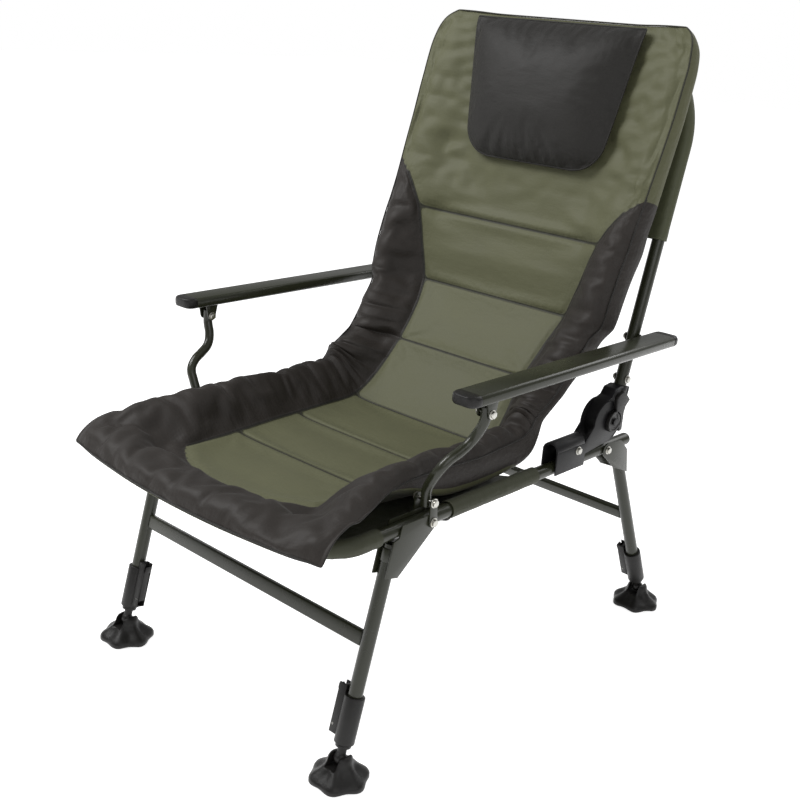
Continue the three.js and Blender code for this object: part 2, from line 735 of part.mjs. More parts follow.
function armrest(side, sign) {
  const shape = new THREE.Shape(ovalPoints(ARM_WIDTH, ARM_THICKNESS));
  const inside = ovalPoints(ARM_WIDTH - 2 * ARM_WALL, ARM_THICKNESS - 2 * ARM_WALL);
  shape.holes.push(new THREE.Path(inside));
  const tube = slabY(shape, ARM_FRONT_Y + CAP_LENGTH, ARM_FRONT_Y + ARM_LENGTH - CAP_LENGTH);
  tube.translate(ARM_CENTRE_X, 0, ARM_MID);
  return piece(`armrest_${side}`, forSide(tube, sign), OLIVE_PAINT);
}

// The armrest's rear cap; the front one is the same, turned round.
function capSolid() {
  const half = ARM_WIDTH / 2;
  const length = CAP_LENGTH - SEAT_GAP;
  const plan = [
    at(-half, -OVERRUN),
    at(half, -OVERRUN),
    ...arc(at(half - CAP_ROUND, length - CAP_ROUND), CAP_ROUND, 0, 90, 4),
    ...arc(at(CAP_ROUND - half, length - CAP_ROUND), CAP_ROUND, 90, 180, 4),
  ];
  const prism = new THREE.ExtrudeGeometry(new THREE.Shape(plan), {
    depth: 2 * ARM_THICKNESS,
    bevelEnabled: false,
  }).translate(0, 0, -ARM_THICKNESS);
  const oval = new THREE.Shape(ovalPoints(ARM_WIDTH, ARM_THICKNESS));
  const slack = 2 * (ARM_WALL + SEAT_GAP);
  const plugShape = new THREE.Shape(ovalPoints(ARM_WIDTH - slack, ARM_THICKNESS - slack));
  const plug = slabY(plugShape, -CAP_PLUG_LENGTH, CAP_PLUG_LENGTH / 2);
  return join(common(slabY(oval, 0, length), prism), plug);
}

function armrestCap(end, side, sign) {
  const cap = capSolid();
  const seat = CAP_LENGTH - SEAT_GAP;
  if (end === "front") {
    cap.rotateZ(degToRad(180)).translate(ARM_CENTRE_X, ARM_FRONT_Y + seat, ARM_MID);
  } else {
    cap.translate(ARM_CENTRE_X, ARM_FRONT_Y + ARM_LENGTH - seat, ARM_MID);
  }
  return piece(`armrest_cap_${end}_${side}`, forSide(cap, sign), BLACK_PLASTIC);
}

// Two cheeks under the armrest's front, with the bolt of the arm support's upper pivot.
function armrestClevis(side, sign) {
  const outer = CLEVIS_GAP + PLATE;
  const top = ARM_UNDER - SEAT_GAP;
  const ear = BOLT_HEAD_RADIUS + PLATE;
  const outline = [
    ...arc(at(SUPPORT_TOP.y, SUPPORT_TOP.z), ear, 180, 360, 4),
    at(SUPPORT_TOP.y + CLEVIS_LENGTH / 2, top),
    at(SUPPORT_TOP.y - CLEVIS_LENGTH / 2, top),
  ];
  const between = block(
    ARM_CENTRE_X - CLEVIS_GAP,
    ARM_CENTRE_X + CLEVIS_GAP,
    SUPPORT_TOP.y - OVERRUN,
    SUPPORT_TOP.y + OVERRUN,
    SUPPORT_TOP.z - OVERRUN,
    top - PLATE,
  );
  const cheeks = cut(slabX(outline, ARM_CENTRE_X - outer, ARM_CENTRE_X + outer), between);
  const clevis = join(cheeks, bolt(ARM_CENTRE_X, SUPPORT_TOP.y, SUPPORT_TOP.z, outer));
  return piece(`armrest_clevis_${side}`, forSide(clevis, sign), OLIVE_PAINT);
}

// A flange under the armrest's rear, its cheek beside the back tube, and the pivot bolt.
function armrestHinge(side, sign) {
  const cheek = RAIL_X + TUBE_RADIUS + 2 * SEAT_GAP;
  const top = ARM_UNDER - SEAT_GAP;
  const half = ARM_HINGE_LENGTH / 2;
  const ear = BOLT_HEAD_RADIUS + PLATE;
  const outline = [
    ...arc(at(ARM_PIVOT.y, ARM_PIVOT.z), ear, 0, 180, 5),
    at(ARM_PIVOT.y - half, top),
    at(ARM_PIVOT.y - half, top - PLATE),
    at(ARM_PIVOT.y + half, top - PLATE),
    at(ARM_PIVOT.y + half, top),
  ];
  const flange = block(
    cheek,
    ARM_CENTRE_X + half / 2,
    ARM_PIVOT.y - half,
    ARM_PIVOT.y + half,
    top - PLATE,
    top,
  );
  const screw = rod("z", BOLT_HEAD_RADIUS, top - PLATE - BOLT_HEAD_HEIGHT, top - PLATE / 2);
  const hinge = join(
    slabX(outline, cheek, cheek + PLATE),
    flange,
    screw.translate(ARM_CENTRE_X, ARM_PIVOT.y - half / 2, 0),
    bolt(RAIL_X, ARM_PIVOT.y, ARM_PIVOT.z, TUBE_RADIUS + SEAT_GAP),
  );
  return piece(`armrest_hinge_${side}`, forSide(hinge, sign), OLIVE_PAINT);
}

// The S-bent tube between the link on the rail and the clevis under the armrest.
function armSupport(side, sign) {
  const bendShares = [
    [0, 0, 0],
    [0.02, 0, 0.12],
    [0.2, 0, 0.26],
    [0.4, 0.04, 0.39],
    [0.52, 0.24, 0.49],
    [0.61, 0.54, 0.56],
    [0.68, 0.8, 0.64],
    [0.82, 0.95, 0.76],
    [0.98, 0.99, 0.9],
    [1, 1, 1],
  ];
  const bends = bendShares.map(
    ([x, y, z]) =>
      new THREE.Vector3(
        lerp(RAIL_X, ARM_CENTRE_X, x),
        lerp(SUPPORT_FOOT_Y, SUPPORT_TOP.y, y),
        lerp(SUPPORT_FOOT_HEIGHT, SUPPORT_TOP.z, z),
      ),
  );
  const foot = bends[0].clone().setZ(SUPPORT_FOOT_HEIGHT - SUPPORT_END);
  const top = bends[bends.length - 1].clone().setZ(SUPPORT_TOP.z + SUPPORT_END);
  const curve = new THREE.CatmullRomCurve3([foot, ...bends, top]);
  const tube = alongPath(
    ringShape(SUPPORT_RADIUS, SUPPORT_WALL, SUPPORT_SIDES),
    curve.getSpacedPoints(SUPPORT_STEPS),
  );
  const drilled = cut(
    tube,
    boltHole(RAIL_X, SUPPORT_FOOT_Y, SUPPORT_FOOT_HEIGHT),
    boltHole(ARM_CENTRE_X, SUPPORT_TOP.y, SUPPORT_TOP.z, BOLT_RADIUS, OPEN_PIVOT_GAP),
  );
  return piece(`arm_support_${side}`, forSide(drilled, sign), OLIVE_PAINT);
}

// Legs, in the leg's own axes with the pivot at the origin

// The front leg's bracket runs forward beside the rail, then down the leg.
function frontPlateOutline() {
  const plateShares = [
    [-0.69, 0.14],
    [-0.74, -0.06],
    [-0.86, -0.09],
    [-1, -0.67],
    [-0.72, -0.74],
  ];
  return [
    ...arc(at(0, 0), EAR_RADIUS, -60, 90, 5),
    ...plateShares.map(([y, z]) => at(y * FRONT_PLATE_REACH, z * FRONT_PLATE_REACH)),
  ];
}

// The rear leg's bracket runs back beside the rail and down to the leg.
function rearPlateOutline() {
  const plateShares = [
    [0.35, -0.51],
    [1, -0.78],
    [0.87, -0.18],
    [0.55, 0.12],
  ];
  return [
    ...arc(at(0, 0), EAR_RADIUS, 90, 240, 5),
    ...plateShares.map(([y, z]) => at(y * REAR_PLATE_REACH, z * REAR_PLATE_REACH)),
  ];
}

// A leg tube with its pivot bracket welded on. Ahead is -1 where the bracket lies in front.
function legTube(name, legs, outline, ahead, side, sign) {
  const tilt = degToRad(legs.lean);
  const top = (-legs.tubeDrop - legs.offset * Math.sin(tilt)) / Math.cos(tilt);
  const foot = ballOn(legs) + COLLAR_START + COLLAR_LIP + SEAT_GAP;
  const own = (points) => points.map((p) => intoLeg(legs, p));
  const plates = [-1, 1].map((face) => {
    const ends = [face * LEG_PLATE_INNER, face * LEG_PLATE_OUTER];
    return slabX(own(outline), RAIL_X + Math.min(...ends), RAIL_X + Math.max(...ends));
  });
  const halfWeb = LEG_PLATE_INNER + PLATE / 2;
  const stopNear = ahead * (EAR_RADIUS + STOP_LENGTH / 2);
  const stopFar = stopNear + ahead * STOP_LENGTH;
  const stopTop = -TUBE_RADIUS - SEAT_GAP;
  const stop = slabX(
    own([
      at(stopNear, stopTop),
      at(stopNear, stopTop - STOP_THICKNESS),
      at(stopFar, stopTop - STOP_THICKNESS),
      at(stopFar, stopTop),
    ]),
    RAIL_X - halfWeb,
    RAIL_X + halfWeb,
  );
  const onAxis = (geometry) => geometry.translate(RAIL_X, legs.offset, 0);
  const weldTop = top - BOLT_HEAD_RADIUS;
  const weld = onAxis(rod("z", halfWeb, weldTop - WELD_LENGTH, weldTop, TUBE_SIDES));
  const core = onAxis(rod("z", TUBE_RADIUS - TUBE_WALL, foot - OVERRUN, top + OVERRUN, TUBE_SIDES));
  const tube = onAxis(rod("z", TUBE_RADIUS, foot, top, TUBE_SIDES));
  const leg = cut(join(tube, weld, stop, ...plates), core, boltHole(RAIL_X, 0, 0));
  return piece(`${name}_leg_${side}`, forSide(leg, sign), OLIVE_PAINT);
}

function crossbar(name, legs) {
  const middle = ballOn(legs) + legs.barRise;
  const bar = block(
    -RAIL_X,
    RAIL_X,
    legs.offset - CROSSBAR_DEPTH / 2,
    legs.offset + CROSSBAR_DEPTH / 2,
    middle - CROSSBAR_HEIGHT / 2,
    middle + CROSSBAR_HEIGHT / 2,
  );
  const copes = SIDES.map(({ sign }) =>
    rod("z", SLEEVE_BORE, middle - OVERRUN, middle + OVERRUN, TUBE_SIDES).translate(
      sign * RAIL_X,
      legs.offset,
      0,
    ),
  );
  return piece(`${name}_crossbar`, cut(bar, ...copes), OLIVE_PAINT);
}

// The collar at the leg tube's foot, with the box and pin of its lever on the inner side.
function legCollar(name, legs, side, sign) {
  const foot = ballOn(legs) + COLLAR_START;
  const top = foot + COLLAR_LENGTH;
  const profile = [
    at(0, foot),
    at(COLLAR_RADIUS - COLLAR_CHAMFER, foot),
    at(COLLAR_RADIUS, foot + COLLAR_CHAMFER),
    at(COLLAR_RADIUS, top),
    at(0, top),
  ];
  const halfBox = LEVER_BOX_WIDTH / 2;
  const boxTop = top + LEVER_BOX_RISE;
  const boxInner = TUBE_RADIUS + LEVER_BOX_WALL / 2;
  const box = block(-LEVER_BOX_REACH, -boxInner, -halfBox, halfBox, foot + LEVER_BOX_FOOT, boxTop);
  const slotWall = halfBox - LEVER_BOX_WALL;
  const slot = block(
    -LEVER_BOX_REACH - OVERRUN,
    -COLLAR_RADIUS - LEVER_BOX_WALL,
    -slotWall,
    slotWall,
    foot + LEVER_BOX_FOOT + LEVER_BOX_WALL,
    boxTop + OVERRUN,
  );
  const pin = rod("y", LEVER_PIN_RADIUS, -halfBox, halfBox);
  pin.translate(LEVER_PIN_X, 0, foot + LEVER_PIN_RISE);
  const bore = rod("z", SLEEVE_BORE, foot + COLLAR_LIP, top + OVERRUN, TUBE_SIDES);
  const lip = rod(
    "z",
    boreFor(INNER_LEG_RADIUS, INNER_LEG_SIDES),
    foot - OVERRUN,
    top,
    INNER_LEG_SIDES,
  );
  const shell = cut(join(turnedZ(profile, COLLAR_SIDES), box), slot);
  const collar = cut(join(shell, pin), bore, lip).translate(RAIL_X, legs.offset, 0);
  return piece(`${name}_collar_${side}`, forSide(collar, sign), BLACK_PLASTIC);
}

// The lever in the collar's box. It swings out towards the middle of the chair.
function collarLever(name, legs, side, sign) {
  const foot = ballOn(legs) + COLLAR_START;
  const pin = at(LEVER_PIN_X, foot + LEVER_PIN_RISE);
  const top = foot + COLLAR_LENGTH + LEVER_BOX_RISE - COLLAR_LIP;
  const face = -LEVER_BOX_REACH + SEAT_GAP;
  const outline = [
    ...arc(pin, LEVER_EYE_RADIUS, 180, 360, 5),
    at(face + LEVER_THICKNESS, pin.y + 2 * LEVER_EYE_RADIUS),
    at(face + LEVER_THICKNESS, top - LEVER_FLARE),
    at(face - LEVER_FLARE / 2, top),
    at(face - LEVER_FLARE / 2, top - LEVER_FLARE),
    at(face, top - 2 * LEVER_FLARE),
  ];
  const half = LEVER_BOX_WIDTH / 2 - LEVER_BOX_WALL - SEAT_GAP;
  const eye = rod("y", boreFor(LEVER_PIN_RADIUS, BOLT_SIDES), -OVERRUN, OVERRUN);
  const lever = cut(slabY(new THREE.Shape(outline), -half, half), eye.translate(pin.x, 0, pin.y));
  lever.translate(RAIL_X, legs.offset, 0);
  return piece(`${name}_collar_lever_${side}`, forSide(lever, sign), BLACK_PLASTIC);
}

// The inner leg: ball, neck, flange and the tube that slides in the collar.
function innerLeg(name, legs, side, sign) {
  const flangeTop = COLLAR_START - SEAT_GAP;
  const flangeFoot = flangeTop - FLANGE_HEIGHT;
  const bore = INNER_LEG_RADIUS - INNER_LEG_WALL;
  const ball = arc(at(0, 0), BALL_RADIUS, -90, 45, 5);
  const profile = [
    ...ball,
    at(NECK_RADIUS, flangeFoot),
    at(FLANGE_RADIUS, flangeFoot),
    at(FLANGE_RADIUS, flangeTop),
    at(INNER_LEG_RADIUS, flangeTop),
    at(INNER_LEG_RADIUS, INNER_LEG_TOP),
    at(bore, INNER_LEG_TOP),
    at(bore, flangeTop + FLANGE_HEIGHT),
    at(0, flangeTop + FLANGE_HEIGHT),
  ];
  const turned = turnedZ(profile, INNER_LEG_SIDES);
  const pinHole = rod("x", boreFor(FOOT_PIN_RADIUS, BOLT_SIDES), -OVERRUN, OVERRUN);
  const leg = cut(turned, pinHole).translate(RAIL_X, legs.offset, ballOn(legs));
  return piece(`${name}_inner_leg_${side}`, forSide(leg, sign), OLIVE_PAINT);
}

// A lobed mud foot with a slot for the ball and its cross pin, from the ball's centre.
function mudFoot(name, legs, side, sign) {
  const ringShares = [
    { radius: 0.93, height: -1, lobe: 0.06, ridge: 0 },
    { radius: 1, height: -0.86, lobe: 0.06, ridge: 0 },
    { radius: 0.78, height: -0.65, lobe: 0.05, ridge: 0.04 },
    { radius: 0.54, height: -0.35, lobe: 0, ridge: 0.09 },
    { radius: 0.37, height: -0.11, lobe: 0, ridge: 0 },
  ];
  const rings = [
    ...ringShares.map(({ radius, height, lobe, ridge }) => ({
      height: height * BALL_HEIGHT,
      radiusAt: (angle) => {
        const wave = Math.cos(FOOT_LOBES * angle);
        return FOOT_RADIUS * (radius * (1 - (lobe * (1 - wave)) / 2) + ridge * wave);
      },
    })),
    { height: SOCKET_RISE, radiusAt: () => SOCKET_RADIUS },
  ];
  const positions = [0, 0, -BALL_HEIGHT];
  const index = [];
  for (const { height, radiusAt } of rings) {
    for (let i = 0; i < FOOT_SIDES; i += 1) {
      const angle = (2 * Math.PI * i) / FOOT_SIDES;
      const radius = radiusAt(angle);
      positions.push(radius * Math.cos(angle), radius * Math.sin(angle), height);
    }
  }
  positions.push(0, 0, SOCKET_RISE);
  const crown = 1 + rings.length * FOOT_SIDES;
  for (let i = 0; i < FOOT_SIDES; i += 1) {
    const next = (i + 1) % FOOT_SIDES;
    index.push(0, 1 + next, 1 + i);
    for (let ring = 0; ring + 1 < rings.length; ring += 1) {
      const low = 1 + ring * FOOT_SIDES;
      const high = low + FOOT_SIDES;
      index.push(low + i, low + next, high + i, high + i, low + next, high + next);
    }
    const top = crown - FOOT_SIDES;
    index.push(crown, top + i, top + next);
  }
  const body = new THREE.BufferGeometry();
  body.setAttribute("position", new THREE.Float32BufferAttribute(positions, 3));
  body.setIndex(index);
  const halfSlot = BALL_RADIUS + BALL_GAP;
  const slot = block(-halfSlot, halfSlot, -OVERRUN, OVERRUN, -halfSlot - BALL_GAP, OVERRUN);
  const pin = rod("x", FOOT_PIN_RADIUS, -SOCKET_RADIUS + SEAT_GAP, SOCKET_RADIUS - SEAT_GAP);
  const foot = join(cut(body, slot), pin);
  const mesh = piece(`${name}_foot_${side}`, forSide(foot, sign), BLACK_PLASTIC);
  const tilt = degToRad(legs.lean);
  const y = legs.pivotY + legs.offset * Math.cos(tilt) - ballOn(legs) * Math.sin(tilt);
  mesh.position.set(sign * RAIL_X, y, BALL_HEIGHT);
  return mesh;
}

// Padded mat. Each row gives the face's place, the way it faces, and the pad's form there.

// From the middle out to the edge: how far across, and shares of the wing's rise, the seam's
// dip and the thickness.
const acrossShares = [
  { across: 0, lift: 0, dip: 0, depth: 1 },
  { across: 0.36, lift: 0, dip: 0, depth: 1 },
  { across: 0.6, lift: 0, dip: 1, depth: 0.9 },
  { across: 0.69, lift: 0.32, dip: 0, depth: 0.96 },
  { across: 0.78, lift: 0.73, dip: 0, depth: 0.96 },
  { across: 0.88, lift: 0.98, dip: 0, depth: 0.84 },
  { across: 0.96, lift: 1, dip: 0, depth: 0.5 },
  { across: 1, lift: 0.93, dip: 0, depth: 0.2 },
];
const fullAcross = [
  ...acrossShares.map((share) => ({ ...share, across: -share.across })).reverse(),
  ...acrossShares.slice(1),
];

function padSection({ y, z, facing, half, depth, rise, bulge = 0 }) {
  const out = new THREE.Vector3(0, -Math.sin(facing), Math.cos(facing));
  const face = fullAcross.map(({ across, lift, dip }) =>
    new THREE.Vector3(across * half, y - bulge * (1 - across ** 2), z).addScaledVector(
      out,
      rise * lift - SEAM_DIP * dip * (depth / PAD_THICKNESS),
    ),
  );
  const back = face.map((p, i) => p.clone().addScaledVector(out, -depth * fullAcross[i].depth));
  return { face, back };
}

// Columns: along the seat, half width, face above the rail, thickness, rise, front bulge. Along
// the seat, 0 to 1 is the roll over the front tube and 1 to 2 is the rest.
const seatRowShares = [
  [0, 1, 0.2, 0.2, 0, 1],
  [0.06, 0.997, 0.475, 0.5, 0.03, 1],
  [0.24, 0.986, 0.725, 0.425, 0.1, 0.95],
  [0.465, 0.976, 0.825, 0.4, 0.2, 0.8],
  [0.69, 0.965, 0.8, 0.37, 0.3, 0.6],
  [1, 0.951, 0.3, 0.85, 0.67, 0.5],
  [1.096, 0.916, 0.325, 0.95, 0.83, 0.3],
  [1.187, 0.878, 0.325, 0.98, 0.93, 0.15],
  [1.278, 0.853, 0.3, 0.96, 0.97, 0.05],
  [1.366, 0.843, 0.19, 0.86, 1, 0],
  [1.455, 0.843, 0.3, 0.96, 0.98, 0],
  [1.543, 0.846, 0.325, 0.98, 0.97, 0],
  [1.632, 0.85, 0.3, 0.96, 0.93, 0],
  [1.722, 0.85, 0.19, 0.86, 0.93, 0],
  [1.813, 0.85, 0.3, 0.96, 0.93, 0],
  [1.904, 0.846, 0.33, 0.99, 0.9, 0],
  [2, 0.843, 0.34, 0.96, 0.83, 0],
];
const seatRows = seatRowShares.map(([along, half, height, depth, rise, bulge]) => ({
  y:
    SEAT_PAD_FRONT_Y +
    Math.min(along, 1) * SEAT_ROLL_LENGTH +
    Math.max(along - 1, 0) * (SEAT_PAD_LENGTH - SEAT_ROLL_LENGTH),
  z: RAIL_HEIGHT + height * PAD_THICKNESS,
  facing: 0,
  half: half * PAD_HALF_WIDTH,
  depth: depth * PAD_THICKNESS,
  rise: rise * PAD_RISE,
  bulge: bulge * SEAT_PAD_BULGE,
}));

// Columns: along the back, how far the face stands out, half width, thickness, rise.
const backRowShares = [
  [0, 2.44, 0.843, 1.1, 0.43],
  [0.054, 2, 0.852, 1.2, 0.6],
  [0.105, 1.61, 0.866, 1.25, 0.75],
  [0.15, 1.27, 0.874, 1.25, 0.83],
  [0.193, 0.93, 0.92, 1.13, 0.87],
  [0.249, 1.05, 0.93, 1.25, 0.87],
  [0.3, 1.05, 0.934, 1.25, 0.83],
  [0.353, 1, 0.937, 1.22, 0.78],
  [0.404, 0.85, 0.941, 1.12, 0.7],
  [0.457, 0.98, 0.941, 1.17, 0.63],
  [0.497, 1, 0.944, 1.25, 0.57],
  [0.585, 1.02, 0.951, 1.26, 0.47],
  [0.673, 1.02, 0.958, 1.26, 0.37],
  [0.776, 1, 0.965, 1.25, 0.3],
  [0.872, 0.98, 0.965, 1.22, 0.25],
  [0.944, 0.93, 0.944, 1.15, 0.2],
  [0.984, 0.83, 0.902, 0.85, 0.13],
  [1, 0.54, 0.853, 0.35, 0.17],
];
const backRows = backRowShares.map(([along, out, half, depth, rise]) => ({
  y: -out * BACK_PAD_FACE,
  z: BACK_PAD_FOOT + along * BACK_PAD_LENGTH,
  facing: Math.PI / 2,
  half: half * PAD_HALF_WIDTH,
  depth: depth * PAD_THICKNESS,
  rise: rise * PAD_RISE,
}));

function seatPad() {
  return piece("seat_pad", skin(seatRows.map(padSection)), OLIVE_FABRIC);
}

// The bend between the seat and the back follows both directions.
function waistPad() {
  const alongShares = [0, 0.15, 0.32, 0.5, 0.68, 0.84, 1];
  const seamShares = [0, 0.13, 0, 0, 0, 0, 0];
  const from = seatRows[seatRows.length - 1];
  const [to, beyond] = backRows;
  const start = new THREE.Vector2(from.y, from.z);
  const upper = backToChair(to.y, to.z);
  const further = backToChair(beyond.y, beyond.z);
  const end = new THREE.Vector2(upper.y, upper.z);
  const leaving = new THREE.Vector2(further.y, further.z).sub(end).normalize();
  start.x += PAD_SPLIT_GAP;
  end.addScaledVector(leaving, -PAD_SPLIT_GAP);
  const curve = new THREE.CubicBezierCurve(
    start,
    at(start.x + WAIST_HANDLE, start.y),
    end.clone().addScaledVector(leaving, -WAIST_HANDLE),
    end,
  );
  const turn = Math.PI / 2 - degToRad(BACK_LEAN);
  const rows = alongShares.map((along, i) => {
    const p = curve.getPoint(along);
    const dip = seamShares[i] * PAD_THICKNESS;
    const facing = turn * smoothstep(along, 0, 1);
    return {
      y: p.x + dip * Math.sin(facing),
      z: p.y - dip * Math.cos(facing),
      facing,
      half: lerp(from.half, to.half, along),
      depth: lerp(from.depth, to.depth, along) - dip,
      rise: lerp(from.rise, to.rise, along),
    };
  });
  return piece("waist_pad", skin(rows.map(padSection)), OLIVE_FABRIC);
}

function backPad() {
  return piece("back_pad", skin(backRows.map(padSection)), OLIVE_FABRIC);
}

// Where the back pad's face lies, in the backrest's own axes.
function backFaceAt(x, z) {
  const i = Math.max(backRows.findIndex((row) => row.z >= z), 1);
  const [low, high] = [backRows[i - 1], backRows[i]];
  const t = (z - low.z) / (high.z - low.z);
  const across = Math.abs(x) / lerp(low.half, high.half, t);
  const j = Math.max(acrossShares.findIndex((share) => share.across >= across), 1);
  const [near, far] = [acrossShares[j - 1], acrossShares[j]];
  const s = (across - near.across) / (far.across - near.across);
  const standing = ({ y, rise, depth }) =>
    y - rise * lerp(near.lift, far.lift, s) + SEAM_DIP * lerp(near.dip, far.dip, s) * (depth / PAD_THICKNESS);
  return lerp(standing(low), standing(high), t);
}

function headrestPillow() {
  const alongShares = [0, 0.04, 0.12, 0.25, 0.5, 0.75, 0.88, 0.96, 1];
  const widthShares = [0.8, 0.92, 0.98, 1, 1, 1, 0.98, 0.92, 0.8];
  const endShares = [0.12, 0.5, 0.84, 1, 1, 1, 0.84, 0.5, 0.12];
  const crossShares = [-1, -0.94, -0.8, -0.5, -0.2, 0.2, 0.5, 0.8, 0.94, 1];
  const edgeShares = [0.14, 0.5, 0.84, 1, 1, 1, 1, 0.84, 0.5, 0.14];
  const sections = alongShares.map((along, i) => {
    const z = PILLOW_FOOT + along * PILLOW_LENGTH;
    const half = (widthShares[i] * lerp(PILLOW_FOOT_WIDTH, PILLOW_WIDTH, along)) / 2;
    const back = crossShares.map(
      (cross) => new THREE.Vector3(cross * half, backFaceAt(cross * half, z) - PILLOW_GAP, z),
    );
    const face = back.map((p, j) => {
      const out = PILLOW_THICKNESS * endShares[i] * edgeShares[j];
      return new THREE.Vector3(p.x, p.y - out, p.z);
    });
    return { face, back };
  });
  return piece("headrest_pillow", skin(sections), BLACK_FABRIC);
}

// The pocket sewn over the top of the back frame, open in front and below.
function backPocket() {
  const clear = TUBE_RADIUS + 2 * SEAT_GAP;
  const outlineFor = (margin, foot) => {
    const half = RAIL_X + clear + margin;
    const round = BACK_HOOP_RADIUS + clear + margin;
    const top = BACK_TUBE_TOP + clear + margin;
    return new THREE.Shape([
      at(-half, foot),
      at(half, foot),
      ...arc(at(half - round, top - round), round, 0, 90, 2 * HOOP_STEPS),
      ...arc(at(round - half, top - round), round, 90, 180, 2 * HOOP_STEPS),
    ]);
  };
  const rear = BACK_OFFSET + clear + POCKET_THICKNESS;
  const foot = BACK_TUBE_TOP - POCKET_LENGTH;
  const shell = slabY(outlineFor(POCKET_THICKNESS, foot), rear - POCKET_DEPTH, rear);
  const hollow = slabY(
    outlineFor(0, foot - OVERRUN),
    rear - POCKET_DEPTH - OVERRUN,
    rear - POCKET_THICKNESS,
  );
  return piece("back_pocket", cut(shell, hollow), OLIVE_FABRIC);
}

// The chair

function backrestGroup() {
  const group = new THREE.Group();
  group.position.set(0, HINGE_Y, HINGE_HEIGHT);
  group.rotation.x = degToRad(-BACK_LEAN);
  for (const { side, sign } of SIDES) {
    group.add(backTube(side, sign), hingeSocket(side, sign));
  }
  group.add(backTopTube(), backPad(), headrestPillow(), backPocket());
  return group;
}

function armGroup(side, sign) {
  const group = new THREE.Group();
  group.add(
    armrest(side, sign),
    armrestCap("front", side, sign),
    armrestCap("rear", side, sign),
    armrestClevis(side, sign),
    armrestHinge(side, sign),
    armSupport(side, sign),
  );
  return group;
}

function legGroup(name, legs, outline, ahead) {
  const group = new THREE.Group();
  group.position.set(0, legs.pivotY, RAIL_HEIGHT);
  group.rotation.x = degToRad(legs.lean);
  for (const { side, sign } of SIDES) {
    group.add(
      legTube(name, legs, outline, ahead, side, sign),
      legCollar(name, legs, side, sign),
      collarLever(name, legs, side, sign),
      innerLeg(name, legs, side, sign),
    );
  }
  group.add(crossbar(name, legs));
  return group;
}

function buildChair() {
  const chair = new THREE.Group();
  for (const { side, sign } of SIDES) {
    chair.add(
      seatRail(side, sign),
      armLink(side, sign),
      reclineBracket(side, sign),
      reclineLever(side, sign),
      legPivotBolt(`front_pivot_bolt_${side}`, FRONT_LEGS.pivotY, LINK_OUTER, sign),
      legPivotBolt(`rear_pivot_bolt_${side}`, REAR_LEGS.pivotY, LEG_PLATE_OUTER, sign),
      armGroup(side, sign),
      mudFoot("front", FRONT_LEGS, side, sign),
      mudFoot("rear", REAR_LEGS, side, sign),
    );
  }
  chair.add(
    seatFrontTube(),
    seatSling(),
    seatPad(),
    waistPad(),
    backrestGroup(),
    legGroup("front", FRONT_LEGS, frontPlateOutline(), -1),
    legGroup("rear", REAR_LEGS, rearPlateOutline(), 1),
  );
  chair.updateMatrixWorld(true);
  const middle = new THREE.Box3().setFromObject(chair, true).getCenter(new THREE.Vector3());
  chair.position.set(-middle.x, -middle.y, 0);
  chair.updateMatrixWorld(true);
  return chair;
}

export default buildChair();
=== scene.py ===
"""A folding, reclining fishing chair with a padded mat, mud feet and linked armrests.

The chair stands on a pale studio floor. Each sub-assembly is a class that models its own pieces
and dresses them, and each finish is a small class that builds its material. Sizes are in metres,
+Z is up, the sitter faces -Y and +X is the sitter's left.
"""

from __future__ import annotations

import logging
import math
from dataclasses import dataclass, field
from enum import Enum
from typing import Callable, Iterable, Sequence

import bmesh
import bpy
import numpy as np
from mathutils import Matrix, Vector

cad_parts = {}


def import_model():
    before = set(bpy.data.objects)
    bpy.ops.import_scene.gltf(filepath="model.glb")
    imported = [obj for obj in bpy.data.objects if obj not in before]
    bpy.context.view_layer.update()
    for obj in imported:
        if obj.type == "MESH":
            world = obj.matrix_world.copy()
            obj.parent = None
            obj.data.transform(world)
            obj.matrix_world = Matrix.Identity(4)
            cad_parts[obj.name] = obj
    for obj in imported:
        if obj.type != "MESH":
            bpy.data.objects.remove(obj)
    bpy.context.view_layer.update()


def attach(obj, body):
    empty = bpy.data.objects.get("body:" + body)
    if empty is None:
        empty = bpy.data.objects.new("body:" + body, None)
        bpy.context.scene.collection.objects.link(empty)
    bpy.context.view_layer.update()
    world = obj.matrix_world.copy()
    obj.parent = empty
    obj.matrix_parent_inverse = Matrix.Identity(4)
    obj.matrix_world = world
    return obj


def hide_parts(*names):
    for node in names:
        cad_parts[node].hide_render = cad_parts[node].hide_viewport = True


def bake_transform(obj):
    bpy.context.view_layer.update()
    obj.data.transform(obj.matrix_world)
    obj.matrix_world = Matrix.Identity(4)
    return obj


log = logging.getLogger("fishing_chair")

CHAIR_SHIFT = -0.073693  # from the plane the side view was drawn on to the chair's own origin
RAIL_X = 0.265
RAIL_HEIGHT = 0.377
HINGE_Y = 0.305
HINGE_HEIGHT = 0.433
LINK_Y = -0.157
LINK_HEIGHT = 0.408
FRONT_PIVOT_Y = -0.155
REAR_PIVOT_Y = 0.31
BACK_OFFSET = 0.0254  # of the back tube behind the hinge
BALL_HEIGHT = 0.037
BACK_LEAN = math.radians(13.9)

Point = Sequence[float]
Colour = tuple[float, float, float]
Array = np.ndarray
Material = bpy.types.Material
Object = bpy.types.Object
Socket = bpy.types.NodeSocket

X = Vector((1, 0, 0))
Y = Vector((0, 1, 0))
Z = Vector((0, 0, 1))
MIRROR = Matrix.Scale(-1, 4, X)


class Side(Enum):
    """The two sides of the chair."""

    LEFT = 1
    RIGHT = -1

    @property
    def word(self) -> str:
        """The side's name, as the frame's pieces spell it."""
        return self.name.lower()

    @property
    def letter(self) -> str:
        """The side's letter, as the frame's bodies spell it."""
        return self.word[0]


